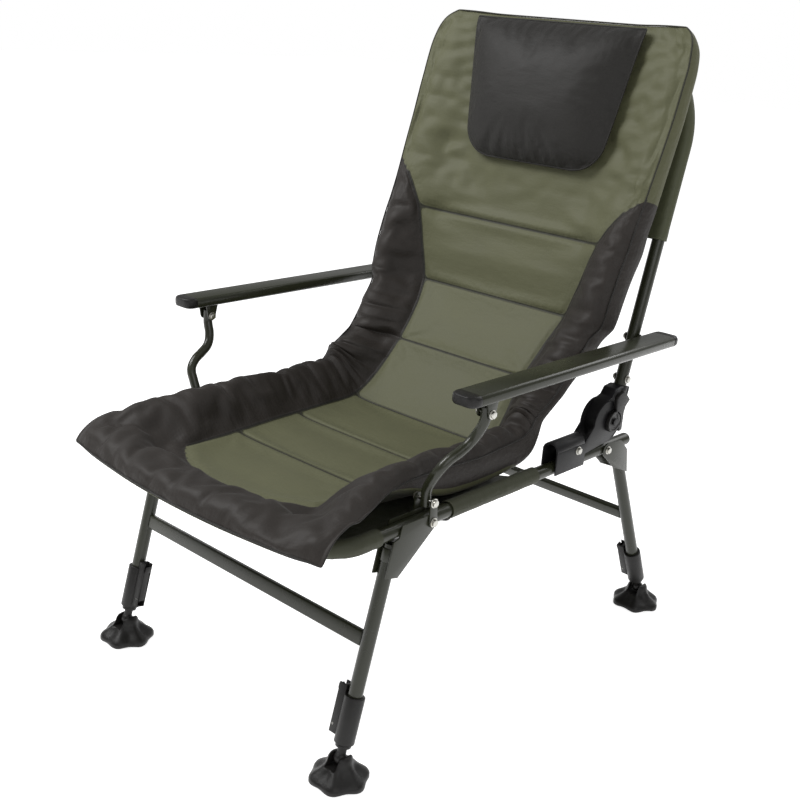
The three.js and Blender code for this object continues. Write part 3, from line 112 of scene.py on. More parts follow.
class Slot(Enum):
    """The record's material slots."""

    OLIVE_PAINT = "olive_paint"
    BLACK_STEEL = "black_steel"
    ZINC = "zinc"
    BLACK_PLASTIC = "black_plastic"
    OLIVE_FABRIC = "olive_fabric"
    BLACK_FABRIC = "black_fabric"


# Shader maths


class Value:
    """A number in a shader that takes part in plain arithmetic."""

    def __init__(self, graph: Graph, socket: Socket) -> None:
        """Wraps the output socket that carries the number."""
        self.graph = graph
        self.socket = socket

    def _math(self, operation: str, *values: Value | float) -> Value:
        """One Math node over the given values."""
        made = self.graph.node("Math", {"operation": operation}, dict(enumerate(values)))
        return Value(self.graph, made.outputs[0])

    def __add__(self, other: Value | float) -> Value:
        """This plus other."""
        return self._math("ADD", self, other)

    def __rsub__(self, other: float) -> Value:
        """Other less this."""
        return self._math("SUBTRACT", other, self)

    def __mul__(self, other: Value | float) -> Value:
        """This times other."""
        return self._math("MULTIPLY", self, other)

    def sine(self) -> Value:
        """The sine of this, in radians."""
        return self._math("SINE", self)

    def most(self, other: Value) -> Value:
        """The larger of the two."""
        return self._math("MAXIMUM", self, other)

    def ramp(self, low: float, high: float) -> Value:
        """Nought below low, one above high, and smooth between them.

        Args:
            low: where it leaves nought.
            high: where it reaches one.

        Returns:
            The ramp's value.
        """
        sockets = {0: self, 1: low, 2: high, 3: 0.0, 4: 1.0}
        made = self.graph.node("MapRange", {"interpolation_type": "SMOOTHSTEP"}, sockets)
        return Value(self.graph, made.outputs[0])


class Graph:
    """The nodes of a material, or of the world."""

    def __init__(self, name: str, kind: str = "Material") -> None:
        """Starts with nothing but the output.

        Args:
            name: the material's name, or the world's.
            kind: Material or World.
        """
        self.owner = getattr(bpy.data, f"{kind.lower()}s").new(name)
        self.owner.use_nodes = True
        self.tree = self.owner.node_tree
        self.tree.nodes.clear()
        self.output = self.tree.nodes.new(f"ShaderNodeOutput{kind}")

    def node(self, kind: str, settings: dict[str, object], values: dict[object, object]) -> bpy.types.Node:
        """Adds one node.

        Args:
            kind: the node's type, after the words ShaderNode.
            settings: what is set on the node itself, before its sockets.
            values: a number, colour, socket or Value for each socket, by name or index.

        Returns:
            The node.
        """
        made = self.tree.nodes.new(f"ShaderNode{kind}")
        for key, value in settings.items():
            setattr(made, key, value)
        for key, value in values.items():
            value = value.socket if isinstance(value, Value) else value
            if isinstance(value, Socket):
                self.tree.links.new(value, made.inputs[key])
            else:
                made.inputs[key].default_value = value
        return made

    def place(self) -> Socket:
        """Where the point is on the chair, in metres."""
        return self.node("TexCoord", {}, {}).outputs["Object"]

    def stretched(self, place: Socket, scale: Point) -> Socket:
        """The place, scaled along each axis."""
        return self.node("Mapping", {}, {"Vector": place, "Scale": scale}).outputs[0]

    def noise(self, place: Socket, scale: float, detail: float = 2.0, rough: float = 0.5) -> Value:
        """Soft noise from nought to one."""
        values = {"Vector": place, "Scale": scale, "Detail": detail, "Roughness": rough}
        return Value(self, self.node("TexNoise", {}, values).outputs[0])

    def attribute(self, name: str) -> Value:
        """A number stored on the mesh."""
        return Value(self, self.node("Attribute", {"attribute_name": name}, {}).outputs["Fac"])

    def blend(self, share: Value | float, low: Socket | Colour, high: Socket | Colour) -> Socket:
        """A colour between two others."""
        low, high = (colour if isinstance(colour, Socket) else (*colour, 1.0) for colour in (low, high))
        return self.node("Mix", {"data_type": "RGBA"}, {0: share, 6: low, 7: high}).outputs[2]

    def bump(self, height: Value, depth: float, before: Socket | None = None) -> Socket:
        """A normal that a height has shaped.

        Args:
            height: nought to one.
            depth: how high one is, in metres.
            before: the normal of coarser relief, if any.

        Returns:
            The normal's socket.
        """
        values = {"Height": height, "Distance": depth, "Strength": 1.0}
        if before is not None:
            values["Normal"] = before
        return self.node("Bump", {}, values).outputs[0]

    def close(self, shader: bpy.types.Node) -> None:
        """Links the last shader to the output."""
        self.tree.links.new(shader.outputs[0], self.output.inputs[0])

    def surface(self, values: dict[str, object]) -> Material:
        """Closes a material with its shader, whose sockets are given by name."""
        self.close(self.node("BsdfPrincipled", {}, values))
        return self.owner


def srgb(*channels: int) -> Colour:
    """A colour from its red, green and blue on screen, 0 to 255, made linear."""
    return tuple((c / 255 / 12.92) if c <= 10 else ((c / 255 + 0.055) / 1.055) ** 2.4 for c in channels)


def shade(colour: Colour, share: float) -> Colour:
    """A colour made darker or lighter."""
    return tuple(min(1.0, channel * share) for channel in colour)


# Finishes


@dataclass(frozen=True)
class GlossPaint:
    """Baked olive enamel on steel tube: a soft orange peel, dust and a little wear."""

    name: str = "olive_enamel"
    colour: Colour = srgb(39, 41, 29)
    worn: Colour = srgb(84, 84, 72)
    roughness: float = 0.23

    def build(self) -> Material:
        """The enamel's material.

        Returns:
            The material.
        """
        graph = Graph(self.name)
        place = graph.place()
        cloud = graph.noise(place, 14, 3)
        scuff = graph.noise(graph.stretched(place, (1, 1, 0.25)), 160, 4, 0.7).ramp(0.62, 0.78)
        colour = graph.blend(cloud, self.colour, shade(self.colour, 1.3))
        return graph.surface(
            {
                "Base Color": graph.blend(scuff * 0.18, colour, self.worn),
                "Roughness": cloud * 0.1 + scuff * 0.25 + self.roughness,
                "Specular IOR Level": 0.38,
                "Coat Weight": 0.12,
                "Coat Roughness": 0.12,
                "Normal": graph.bump(graph.noise(place, 900, 2), 0.00012),
            }
        )


@dataclass(frozen=True)
class SatinSteel:
    """Black powder coat: fine speckle under a dull shine."""

    name: str = "black_powder_coat"
    colour: Colour = srgb(20, 20, 21)

    def build(self) -> Material:
        """The coat's material.

        Returns:
            The material.
        """
        graph = Graph(self.name)
        place = graph.place()
        cloud = graph.noise(place, 30, 3)
        return graph.surface(
            {
                "Base Color": graph.blend(cloud, self.colour, shade(self.colour, 1.5)),
                "Roughness": cloud * 0.15 + 0.36,
                "Specular IOR Level": 0.3,
                "Normal": graph.bump(graph.noise(place, 1600, 2), 0.0001),
            }
        )


@dataclass(frozen=True)
class MouldedPlastic:
    """Black moulded plastic: a fine spark-eroded grain, rubbed smoother in places."""

    name: str = "black_moulding"
    colour: Colour = srgb(23, 22, 21)
    dusty: Colour = srgb(84, 80, 72)
    roughness: float = 0.28

    def build(self) -> Material:
        """The moulding's material.

        Returns:
            The material.
        """
        graph = Graph(self.name)
        place = graph.place()
        grain = graph.node("TexVoronoi", {}, {"Vector": place, "Scale": 1100}).outputs["Distance"]
        rub = graph.noise(place, 45, 3)
        dust = graph.noise(place, 120, 4, 0.7).ramp(0.55, 0.8)
        colour = graph.blend(rub, self.colour, shade(self.colour, 1.4))
        return graph.surface(
            {
                "Base Color": graph.blend(dust * 0.12, colour, self.dusty),
                "Roughness": rub * 0.18 + dust * 0.15 + self.roughness,
                "Specular IOR Level": 0.3,
                "Normal": graph.bump(grain, 0.00018),
            }
        )


@dataclass(frozen=True)
class ZincPlate:
    """Bright zinc on bolts and rivets, with turning marks and a faint tarnish."""

    name: str = "bright_zinc"
    bright: Colour = srgb(205, 206, 204)
    tarnished: Colour = srgb(176, 172, 160)

    def build(self) -> Material:
        """The plating's material.

        Returns:
            The material.
        """
        graph = Graph(self.name)
        place = graph.place()
        cloud = graph.noise(place, 160, 3)
        marks = graph.noise(graph.stretched(place, (0.2, 1, 1)), 2600, 2)
        return graph.surface(
            {
                "Base Color": graph.blend(cloud, self.bright, self.tarnished),
                "Roughness": cloud * 0.22 + 0.2,
                "Metallic": 1.0,
                "Normal": graph.bump(marks, 0.00006),
            }
        )


@dataclass(frozen=True)
class WovenNylon:
    """Tightly woven nylon: a fine plain weave over soft creases, with a slight sheen.

    Where it has a second colour, the mesh's panel number tells the two apart at nought, and its seam number
    is the distance to the nearest sewn line, where the colour darkens as stitching and painted groove shade.
    """

    name: str
    colour: Colour
    other: Colour | None = None
    # dark stitching, and painted shade in the seams' grooves
    thread: Colour = srgb(20, 19, 15)
    threads: float = 2600.0
    crease: float = 0.002

    def build(self) -> Material:
        """The cloth's material.

        Returns:
            The material.
        """
        graph = Graph(self.name)
        cloth = graph.node("UVMap", {"uv_map": "cloth"}, {}).outputs[0]
        parts = graph.node("SeparateXYZ", {}, {0: cloth}).outputs
        across, along = ((Value(graph, part) * self.threads).sine() for part in (parts[0], parts[1]))
        slub = graph.noise(graph.stretched(cloth, (40, 900, 1)), 1, 2)
        cloud = graph.noise(cloth, 9, 4, 0.6)
        colour = graph.blend(cloud, shade(self.colour, 0.9), shade(self.colour, 1.14))
        near = graph.attribute("pucker")
        warped = graph.noise(graph.stretched(cloth, (26, 60, 1)), 1, 3, 0.6)
        folds = graph.noise(graph.stretched(cloth, (110, 42, 1)), 1, 3, 0.55)
        relief = graph.bump(warped * (near * 0.6 + 0.4) + folds * near, self.crease)
        if self.other is not None:
            dark = graph.blend(cloud, shade(self.other, 0.9), shade(self.other, 1.2))
            colour = graph.blend(graph.attribute("panel").ramp(-0.0006, 0.0006), dark, colour)
            # near each sewn line the colour darkens: dark stitching, and painted shade where the seam's
            # groove lies
            clear = graph.attribute("seam").ramp(0.0009, 0.0032)
            colour = graph.blend((1.0 - clear) * 0.85, colour, self.thread)
            relief = graph.bump(clear, 0.0011, relief)
        return graph.surface(
            {
                "Base Color": colour,
                "Roughness": cloud * 0.12 + 0.55,
                "Specular IOR Level": 0.38,
                "Sheen Weight": 0.07,
                "Sheen Roughness": 0.4,
                "Normal": graph.bump((across * along * 0.5 + 0.5) * 0.6 + slub * 0.4, 0.0001, relief),
            }
        )


@dataclass(frozen=True)
class StudioPaper:
    """The pale floor, which shows its own white only to the camera and in reflections."""

    name: str = "studio_paper"
    glow: float = 0.8

    def build(self) -> Material:
        """The paper's material.

        Returns:
            The material.
        """
        graph = Graph(self.name)
        path = graph.node("LightPath", {}, {}).outputs
        seen = Value(graph, path["Is Camera Ray"])
        for ray in ("Is Glossy Ray", "Is Transmission Ray"):
            seen = seen.most(Value(graph, path[ray]))
        return graph.surface(
            {
                "Base Color": graph.blend(graph.noise(graph.place(), 3, 2), (0.86,) * 3, (0.88,) * 3),
                "Roughness": 0.85,
                "Emission Color": graph.blend(seen, (0.0,) * 3, (self.glow,) * 3),
                "Emission Strength": 1.0,
            }
        )


@dataclass(frozen=True)
class Finish:
    """A finish's material, and the record's slot that it fills."""

    material: Material
    slot: Slot


class Finishes:
    """One of each finish."""

    def __init__(self) -> None:
        """Builds them all."""
        self.paint = Finish(GlossPaint().build(), Slot.OLIVE_PAINT)
        self.steel = Finish(SatinSteel().build(), Slot.BLACK_STEEL)
        self.plastic = Finish(MouldedPlastic().build(), Slot.BLACK_PLASTIC)
        self.zinc = Finish(ZincPlate().build(), Slot.ZINC)
        mat = WovenNylon("mat_nylon", srgb(90, 91, 66), srgb(36, 31, 27))
        self.mat = Finish(mat.build(), Slot.OLIVE_FABRIC)
        self.cover = Finish(WovenNylon("olive_nylon", srgb(76, 79, 57)).build(), Slot.OLIVE_FABRIC)
        self.pillow = Finish(WovenNylon("black_nylon", srgb(25, 23, 20)).build(), Slot.BLACK_FABRIC)
        self.sling = Finish(WovenNylon("sling_nylon", srgb(58, 60, 44)).build(), Slot.OLIVE_FABRIC)


# The bench


class Bench:
    """One new piece, shaped with Blender's own tools."""

    def __init__(self, made: Object) -> None:
        """Takes the object that a primitive has just made."""
        self.piece = made

    @staticmethod
    def clear() -> None:
        """Leaves edit mode and deselects everything."""
        if bpy.context.object is not None and bpy.context.object.mode != "OBJECT":
            bpy.ops.object.mode_set(mode="OBJECT")
        bpy.ops.object.select_all(action="DESELECT")

    @classmethod
    def _start(cls, name: str, primitive: Callable, facing: Vector | None, **sizes: object) -> Bench:
        """Starts with one of Blender's primitives.

        Args:
            name: the piece's name.
            primitive: the operator that makes it.
            facing: the direction its own Z axis is turned to, if it is turned.
            sizes: the operator's own settings.

        Returns:
            The bench, in edit mode with everything selected.
        """
        cls.clear()
        primitive(rotation=facing.to_track_quat("Z", "Y").to_euler() if facing else (0, 0, 0), **sizes)
        made = bpy.context.object
        made.name = made.data.name = name
        bpy.ops.object.transform_apply(location=True, rotation=True, scale=True)
        bpy.context.tool_settings.mesh_select_mode = (True, False, False)
        bpy.ops.object.mode_set(mode="EDIT")
        return cls(made)

    @classmethod
    def ring(
        cls, name: str, radius: float, centre: Vector, facing: Vector, sides: int, fill: str = "NOTHING"
    ) -> Bench:
        """Starts with a circle of so many sides round an axis, open or filled with an NGON."""
        add = bpy.ops.mesh.primitive_circle_add
        return cls._start(name, add, facing, vertices=sides, radius=radius, fill_type=fill, location=centre)

    @classmethod
    def drum(
        cls, name: str, radius: float, length: float, centre: Vector, facing: Vector, sides: int
    ) -> Bench:
        """Starts with a cylinder of so many sides round an axis."""
        add = bpy.ops.mesh.primitive_cylinder_add
        return cls._start(name, add, facing, vertices=sides, radius=radius, depth=length, location=centre)

    @classmethod
    def block(cls, name: str, low: Point, high: Point) -> Bench:
        """Starts with a box between two corners.

        Args:
            name: the piece's name.
            low: its lowest corner.
            high: its highest corner.

        Returns:
            The bench, in edit mode.
        """
        low, high = Vector(low), Vector(high)
        add = bpy.ops.mesh.primitive_cube_add
        return cls._start(name, add, None, size=1, location=(low + high) / 2, scale=high - low)

    @classmethod
    def outline(cls, name: str, points: Sequence[Vector], move: Vector) -> Bench:
        """Starts with a flat outline and gives it thickness.

        Args:
            name: the piece's name.
            points: the outline's corners in order.
            move: how far and which way it is extruded.

        Returns:
            The bench, in edit mode with a closed plate.
        """
        bench = cls.ring(name, 0.01, Vector(), Z, len(points), "NGON")
        mesh = bench.mesh()
        for vertex, point in zip(mesh.verts, points):
            vertex.co = point
        bmesh.update_edit_mesh(bench.piece.data)
        return bench.all().extrude(move).outward(merge=False)

    def mesh(self) -> bmesh.types.BMesh:
        """The mesh as it is in edit mode.

        Returns:
            The mesh, with its points in a table.
        """
        mesh = bmesh.from_edit_mesh(self.piece.data)
        mesh.verts.ensure_lookup_table()
        return mesh

    def all(self) -> Bench:
        """Selects everything."""
        bpy.ops.mesh.select_all(action="SELECT")
        return self

    def faces(self, axis: int, least: float, either: bool = True) -> Bench:
        """Selects the faces that face along an axis.

        Args:
            axis: the axis's number.
            least: the least share of their normal along it.
            either: whether the ones that face backwards count too.

        Returns:
            The bench.
        """
        bpy.ops.mesh.select_all(action="DESELECT")
        bpy.ops.mesh.select_mode(type="FACE")
        mesh = self.mesh()
        for face in mesh.faces:
            share = face.normal[axis] * math.copysign(1, least)
            face.select = (abs(share) if either else share) > abs(least)
        mesh.select_flush_mode()
        bmesh.update_edit_mesh(self.piece.data)
        return self

    def extrude(self, move: Vector) -> Bench:
        """Extrudes what is selected."""
        bpy.ops.mesh.extrude_region_move(TRANSFORM_OT_translate={"value": move})
        return self

    def scale(self, by: Point, centre: Vector) -> Bench:
        """Scales what is selected about a point."""
        bpy.ops.transform.resize(value=by, center_override=centre)
        return self

    def inset(self, width: float, depth: float = 0.0) -> Bench:
        """Insets what is selected."""
        bpy.ops.mesh.inset(thickness=width, depth=depth)
        return self

    def modify(self, kind: str, **settings: object) -> Bench:
        """Adds a modifier and applies it.

        Args:
            kind: the modifier's type.
            settings: its settings, by name.

        Returns:
            The bench, in object mode.
        """
        self.done()
        modifier = self.piece.modifiers.new(kind.lower(), kind)
        for key, value in settings.items():
            setattr(modifier, key, value)
        self._choose()
        bpy.ops.object.modifier_apply(modifier=modifier.name)
        return self

    def soften(self, width: float, segments: int = 2, angle: float = 35.0) -> Bench:
        """Rounds the edges that are sharper than an angle in degrees."""
        limit = math.radians(angle)
        return self.modify("BEVEL", width=width, segments=segments, limit_method="ANGLE", angle_limit=limit)

    def carve(self, tool: Bench) -> Bench:
        """Cuts another piece out of this one, and throws it away.

        Args:
            tool: the piece that is cut out.

        Returns:
            The bench, in object mode.
        """
        self.modify("BOOLEAN", operation="DIFFERENCE", solver="EXACT", object=tool.done().piece)
        bpy.data.objects.remove(tool.piece, do_unlink=True)
        return self

    def thicken(self, wall: float, offset: float = -1) -> Bench:
        """Gives a surface its wall, inwards or to both sides."""
        return self.modify("SOLIDIFY", thickness=wall, offset=offset)

    def smooth(self) -> Bench:
        """Smooths with one level of a subdivision surface."""
        return self.modify("SUBSURF", levels=1, render_levels=1)

    def _choose(self) -> None:
        """Makes this the one selected and active object."""
        Bench.clear()
        self.piece.select_set(True)
        bpy.context.view_layer.objects.active = self.piece

    def editing(self) -> Bench:
        """Goes back to edit mode.

        Returns:
            The bench, in edit mode.
        """
        self._choose()
        bpy.ops.object.mode_set(mode="EDIT")
        return self

    def outward(self, merge: bool = True) -> Bench:
        """Turns every face outwards.

        Args:
            merge: whether points in the same place become one.

        Returns:
            The bench, in edit mode.
        """
        self.editing().all()
        if merge:
            bpy.ops.mesh.remove_doubles(threshold=0.00002)
        bpy.ops.mesh.normals_make_consistent(inside=False)
        return self

    def done(self) -> Bench:
        """Leaves edit mode.

        Returns:
            The bench, in object mode.
        """
        if self.piece.mode != "OBJECT":
            bpy.ops.object.mode_set(mode="OBJECT")
        return self

    def join(self, *others: Bench) -> Bench:
        """Makes one object of several, as welded or assembled pieces.

        Args:
            others: the pieces that become part of this one.

        Returns:
            The bench, in object mode.
        """
        for bench in (self, *others):
            bench.done()
        self._choose()
        for other in others:
            other.piece.select_set(True)
        bpy.ops.object.join()
        return self

    def moved(self, matrix: Matrix) -> Bench:
        """Puts the mesh elsewhere."""
        self.done().piece.data.transform(matrix)
        return self

    def wear(self, finish: Finish) -> Bench:
        """Gives the piece a finish before it is joined to others.

        Args:
            finish: the finish.

        Returns:
            The bench, in object mode.
        """
        materials = self.done().piece.data.materials
        materials.clear()
        materials.append(finish.material)
        return self

    def finish(self, finish: Finish, angle: float) -> Object:
        """Shades the piece smooth by angle, and gives it its finish.

        Args:
            finish: the finish, where the piece has none yet.
            angle: the sharpest edge that is still smooth, in degrees.

        Returns:
            The object.
        """
        if not self.done().piece.data.materials:
            self.piece.data.materials.append(finish.material)
        self._choose()
        bpy.ops.object.shade_smooth_by_angle(angle=math.radians(angle))
        return self.piece


class TubeBender:
    """Draws a tube as a bender does: straight runs and bends, from one open end to the other."""

    def __init__(self, name: str, radius: float, start: Vector, heading: Vector) -> None:
        """Puts the first ring in place.

        Args:
            name: the tube's name.
            radius: the tube's outer radius.
            start: the middle of its first end.
            heading: the way it sets off.
        """
        self.here = start.copy()
        self.heading = heading.normalized()
        self.radius = radius
        self.bench = Bench.ring(name, radius, start, self.heading, 28)

    def run(self, length: float) -> TubeBender:
        """A straight run.

        Args:
            length: the run's length.

        Returns:
            The bender.
        """
        self.bench.extrude(self.heading * length)
        self.here += self.heading * length
        return self

    def bend(self, radius: float, toward: Vector, steps: int) -> TubeBender:
        """A quarter turn.

        Args:
            radius: the bend's radius at the tube's middle.
            toward: the direction from the tube to the bend's centre.
            steps: rings in the bend.

        Returns:
            The bender.
        """
        centre = self.here + toward * radius
        axis = self.heading.cross(toward)
        bpy.ops.mesh.spin(steps=steps, angle=-math.pi / 2, center=centre, axis=axis)
        turn = Matrix.Rotation(math.pi / 2, 4, axis)
        self.here = centre + turn @ (self.here - centre)
        self.heading = (turn @ self.heading).normalized()
        return self

    def hoop(self, straight: float, across: float, radius: float, steps: int = 12) -> TubeBender:
        """A U that turns to the sitter's right.

        Args:
            straight: the length of each leg.
            across: the length of the run between them.
            radius: the bends' radius.
            steps: rings in each bend.

        Returns:
            The bender.
        """
        back = -self.heading
        self.run(straight).bend(radius, -X, steps)
        return self.run(across).bend(radius, back, steps).run(straight)

    def dome(self, steps: int) -> TubeBender:
        """Closes the end with a round cap.

        Args:
            steps: how many rings.

        Returns:
            The bender.
        """
        for step in range(1, steps + 1):
            low, high = (math.radians(90 * place / steps) for place in (step - 1, step))
            self.run(self.radius * (math.sin(high) - math.sin(low)) * 0.6)
            share = max(math.cos(high), 0.02) / math.cos(low)
            self.bench.scale((share,) * 3, self.here)
        bpy.ops.mesh.edge_face_add()
        return self

    def walled(self) -> Bench:
        """Ends the tube and gives it its wall."""
        return self.bench.outward().thicken(0.0015)


def lean(angle: float, pivot: Vector) -> Matrix:
    """From the axes of a part that is turned about X, in radians, and has its origin at a pivot."""
    return Matrix.Translation(pivot) @ Matrix.Rotation(angle, 4, "X")


def datum(x: float, y: float, z: float) -> Vector:
    """A place on the drawing, moved to the chair's own origin."""
    return Vector((x, y + CHAIR_SHIFT, z))


BACK_AXES = lean(-BACK_LEAN, datum(0, HINGE_Y, HINGE_HEIGHT))


def arc(y: float, z: float, radius: float, start: float, end: float, steps: int) -> list[tuple[float, float]]:
    """Points of an arc in the side view.

    Args:
        y: the centre's Y.
        z: the centre's Z.
        radius: the arc's radius.
        start: the first angle in degrees, from +Y towards +Z.
        end: the last angle.
        steps: how many parts.

    Returns:
        The points as (y, z).
    """
    angles = [math.radians(start + (end - start) * i / steps) for i in range(steps + 1)]
    return [(y + radius * math.cos(a), z + radius * math.sin(a)) for a in angles]


def plate(name: str, outline: Iterable[tuple[float, float]], from_x: float, to_x: float) -> Bench:
    """A plate between two places on X, from its corners in the side view as (y, z)."""
    return Bench.outline(name, [Vector((from_x, y, z)) for y, z in outline], X * (to_x - from_x))


def twins(outline: Sequence[Point], middle: float, span: Point, edge: float, finish: Finish) -> list[Bench]:
    """Two like plates, one on each side of a middle.

    Args:
        outline: their corners as (y, z).
        middle: the place on X between them.
        span: how far from it they begin and end.
        edge: the rounding of their edges.
        finish: their finish.

    Returns:
        The left bench and the right one.
    """
    inner, outer = span
    spans = ((middle + inner, middle + outer), (middle - outer, middle - inner))
    return [plate("plate", outline, *ends).soften(edge).wear(finish) for ends in spans]


def hex_bolt(centre: Vector, half_grip: float, finish: Finish) -> Bench:
    """A bolt along X, with a washer and a domed hexagon at each end.

    Args:
        centre: the middle of its shank.
        half_grip: from its middle to the face under the head.
        finish: its plating.

    Returns:
        The bench, in object mode.
    """
    radius = 0.006
    shank = Bench.drum("bolt", radius * 0.5, 2 * half_grip, centre, X, 16)
    parts = []
    for sign in (1, -1):
        face = centre + X * sign * half_grip
        washer = Bench.drum("washer", radius * 1.22, 0.0009, face + X * sign * 0.00045, X, 28)
        parts.append(washer.soften(0.0003))
        head = Bench.drum("head", radius, 0.0034, face + X * sign * 0.0026, X, 6)
        head.faces(0, 0.9 * sign, either=False).inset(radius * 0.16, 0.0004)
        parts.append(head.soften(0.0005, 2, 25))
    return shank.join(*parts).wear(finish)


@dataclass
class Assembly:
    """What every sub-assembly shares: its finishes, and how a piece joins the frame."""

    finishes: Finishes

    def hand_over(
        self, bench: Bench, finish: Finish, body: str, nodes: Sequence[str], angle: float = 35.0
    ) -> Object:
        """Finishes a piece, puts it on its body and takes the frame's own solids out of view.

        Args:
            bench: the piece.
            finish: its finish.
            body: the body it rides on.
            nodes: the solids it stands for.
            angle: the sharpest edge that is still smooth, in degrees.

        Returns:
            The object.
        """
        piece = bench.finish(finish, angle)
        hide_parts(*nodes)
        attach(piece, body)
        log.info("%s: %d faces on %s", piece.name, len(piece.data.polygons), body)
        return piece

    def pair(
        self, bench: Bench, side: Side, names: tuple[str, str], finish: Finish, body: str, angle: float = 35.0
    ) -> None:
        """Hands over a piece that was made on the left, mirrored where the right is wanted.

        Args:
            bench: the piece on the left.
            side: the side wanted.
            names: the piece's name and its solid's, without the side.
            finish: its finish.
            body: the body it rides on, to which the side's letter is added after an underscore.
            angle: the sharpest edge that is still smooth, in degrees.
        """
        piece = bench.done().piece
        piece.name = piece.data.name = f"{names[0]}_{side.word}"
        if side is Side.RIGHT:
            piece.data.transform(MIRROR)
            piece.data.flip_normals()
        own = side.letter if body.endswith("_") else ""
        self.hand_over(bench, finish, body + own, [f"{names[1]}_{side.word}"], angle)


# The padded mat


def spline(stations: Array, values: Array, wanted: Array) -> Array:
    """A smooth curve through the stations that never overshoots them.

    Args:
        stations: places along the mat, rising.
        values: the value at each station.
        wanted: where the curve is read.

    Returns:
        The values there.
    """
    step = np.diff(stations)
    slope = np.diff(values) / step
    tangent = np.zeros_like(values)
    tangent[0], tangent[-1] = slope[0], slope[-1]
    same = slope[:-1] * slope[1:] > 0
    w1 = 2 * step[1:] + step[:-1]
    w2 = step[1:] + 2 * step[:-1]
    safe_low = np.where(same, slope[:-1], 1.0)
    safe_high = np.where(same, slope[1:], 1.0)
    tangent[1:-1] = np.where(same, (w1 + w2) / (w1 / safe_low + w2 / safe_high), 0.0)
    i = np.clip(np.searchsorted(stations, wanted, side="right") - 1, 0, len(step) - 1)
    t = (wanted - stations[i]) / step[i]
    h = step[i]
    return (
        (1 + 2 * t) * (1 - t) ** 2 * values[i]
        + t * (1 - t) ** 2 * h * tangent[i]
        + t**2 * (3 - 2 * t) * values[i + 1]
        + t**2 * (t - 1) * h * tangent[i + 1]
    )


def places_of(mesh: bpy.types.Mesh) -> Array:
    """The places of a mesh's points, a row for each.

    Args:
        mesh: the mesh.

    Returns:
        Its places, as rows of three.
    """
    places = np.empty(len(mesh.vertices) * 3)
    mesh.vertices.foreach_get("co", places)
    return places.reshape(-1, 3)


@dataclass(frozen=True)
class Filling:
    """A stuffed piece's swelling, found by simulating its cloth with air inside."""

    pressure: float
    growth: float
    reach: float
    frames: int = 14

    def _set_up(self, piece: Object) -> bpy.types.Modifier:
        """Makes cloth of a piece, held and drawn tight by its groups.

        Args:
            piece: the piece, with its groups held and taut.

        Returns:
            The cloth modifier.
        """
        cloth = piece.modifiers.new("filling", "CLOTH")
        settings = {
            "quality": 6,
            "mass": 0.25,
            "tension_stiffness": 14,
            "compression_stiffness": 9,
            "shear_stiffness": 4,
            "bending_stiffness": 0.12,
            "use_pressure": True,
            "uniform_pressure_force": self.pressure,
            "vertex_group_mass": "held",
            "vertex_group_shrink": "taut",
            "shrink_min": -self.growth,
            "shrink_max": 0.0,
        }
        for key, value in settings.items():
            setattr(cloth.settings, key, value)
        cloth.settings.effector_weights.gravity = 0
        cloth.point_cache.frame_start = 1
        cloth.point_cache.frame_end = self.frames
        return cloth

    def fill(self, piece: Object) -> None:
        """Swells the piece where it isn't held, and lets slack cloth grow into folds.

        Args:
            piece: a closed mesh whose points carry the numbers held and slack.
        """
        mesh = piece.data
        before = places_of(mesh)
        weights = {}
        for name in ("held", "slack"):
            weights[name] = np.empty(len(mesh.vertices), np.float32)
            mesh.attributes[name].data.foreach_get("value", weights[name])
        held = piece.vertex_groups.new(name="held")
        held.add(np.nonzero(weights["held"] > 0.5)[0].tolist(), 1.0, "REPLACE")
        taut = piece.vertex_groups.new(name="taut")
        for level in (0.25, 0.5, 0.75, 1.0):
            taut.add(np.nonzero(1 - weights["slack"] >= level - 0.125)[0].tolist(), level, "REPLACE")
        cloth = self._set_up(piece)
        scene = bpy.context.scene
        for frame in range(1, self.frames + 1):
            scene.frame_set(frame)
        move = places_of(piece.evaluated_get(bpy.context.evaluated_depsgraph_get()).data) - before
        piece.modifiers.remove(cloth)
        scene.frame_set(1)
        length = np.linalg.norm(move, axis=1, keepdims=True)
        move *= np.minimum(1.0, self.reach / np.maximum(length, 1e-9))
        mesh.vertices.foreach_set("co", (before + move).ravel())
        mesh.update()


def gathers(
    seed: int, along: Array, across: Array, pace: tuple[float, float], slant: float, breadth: float = 0.75
) -> Array:
    """Sharp folds in gathered cloth.

    Args:
        seed: picks the folds.
        along: metres across the folds.
        across: metres along the folds.
        pace: the fewest and most folds in a metre.
        slant: how far the folds lean, in folds per metre of their length.
        breadth: how broad the creases are.

    Returns:
        Nought on the swells and minus one in the creases.
    """
    draw = np.random.default_rng(seed)
    total = np.zeros(np.broadcast(along, across).shape)
    for _ in range(5):
        turns = along * draw.uniform(*pace) + across * draw.uniform(-slant, slant) + draw.uniform()
        total = total + np.sin(2 * math.pi * turns)
    return -np.exp(-((total / breadth) ** 2))


def sheet_mesh(name: str, points: Array, quads: list, flat: Array, numbers: dict) -> Object:
    """A sewn piece from its points.

    Args:
        name: the piece's name.
        points: each point's place.
        quads: the corners of each face.
        flat: each point's place on the cut cloth, in metres.
        numbers: values kept at each point, by name.

    Returns:
        The object.
    """
    Bench.clear()
    bpy.ops.mesh.primitive_plane_add(size=0.1)
    piece = bpy.context.object
    piece.name = name
    mesh = bpy.data.meshes.new(name)
    mesh.from_pydata(points.reshape(-1, 3).tolist(), [], quads)
    old, piece.data = piece.data, mesh
    bpy.data.meshes.remove(old)
    for key, values in numbers.items():
        layer = mesh.attributes.new(key, "FLOAT", "POINT")
        layer.data.foreach_set("value", np.asarray(values, np.float32).ravel())
    loops = np.empty(len(mesh.loops), np.int32)
    mesh.loops.foreach_get("vertex_index", loops)
    cloth = mesh.uv_layers.new(name="cloth")
    cloth.data.foreach_set("uv", flat.reshape(-1, 2)[loops].astype(np.float32).ravel())
    return piece


def rim_of(values: Array) -> Array:
    """The values round the rim of a grid, in order."""
    return np.concatenate([values[0], values[1:, -1], values[-1, -2::-1], values[-2:0:-1, 0]])


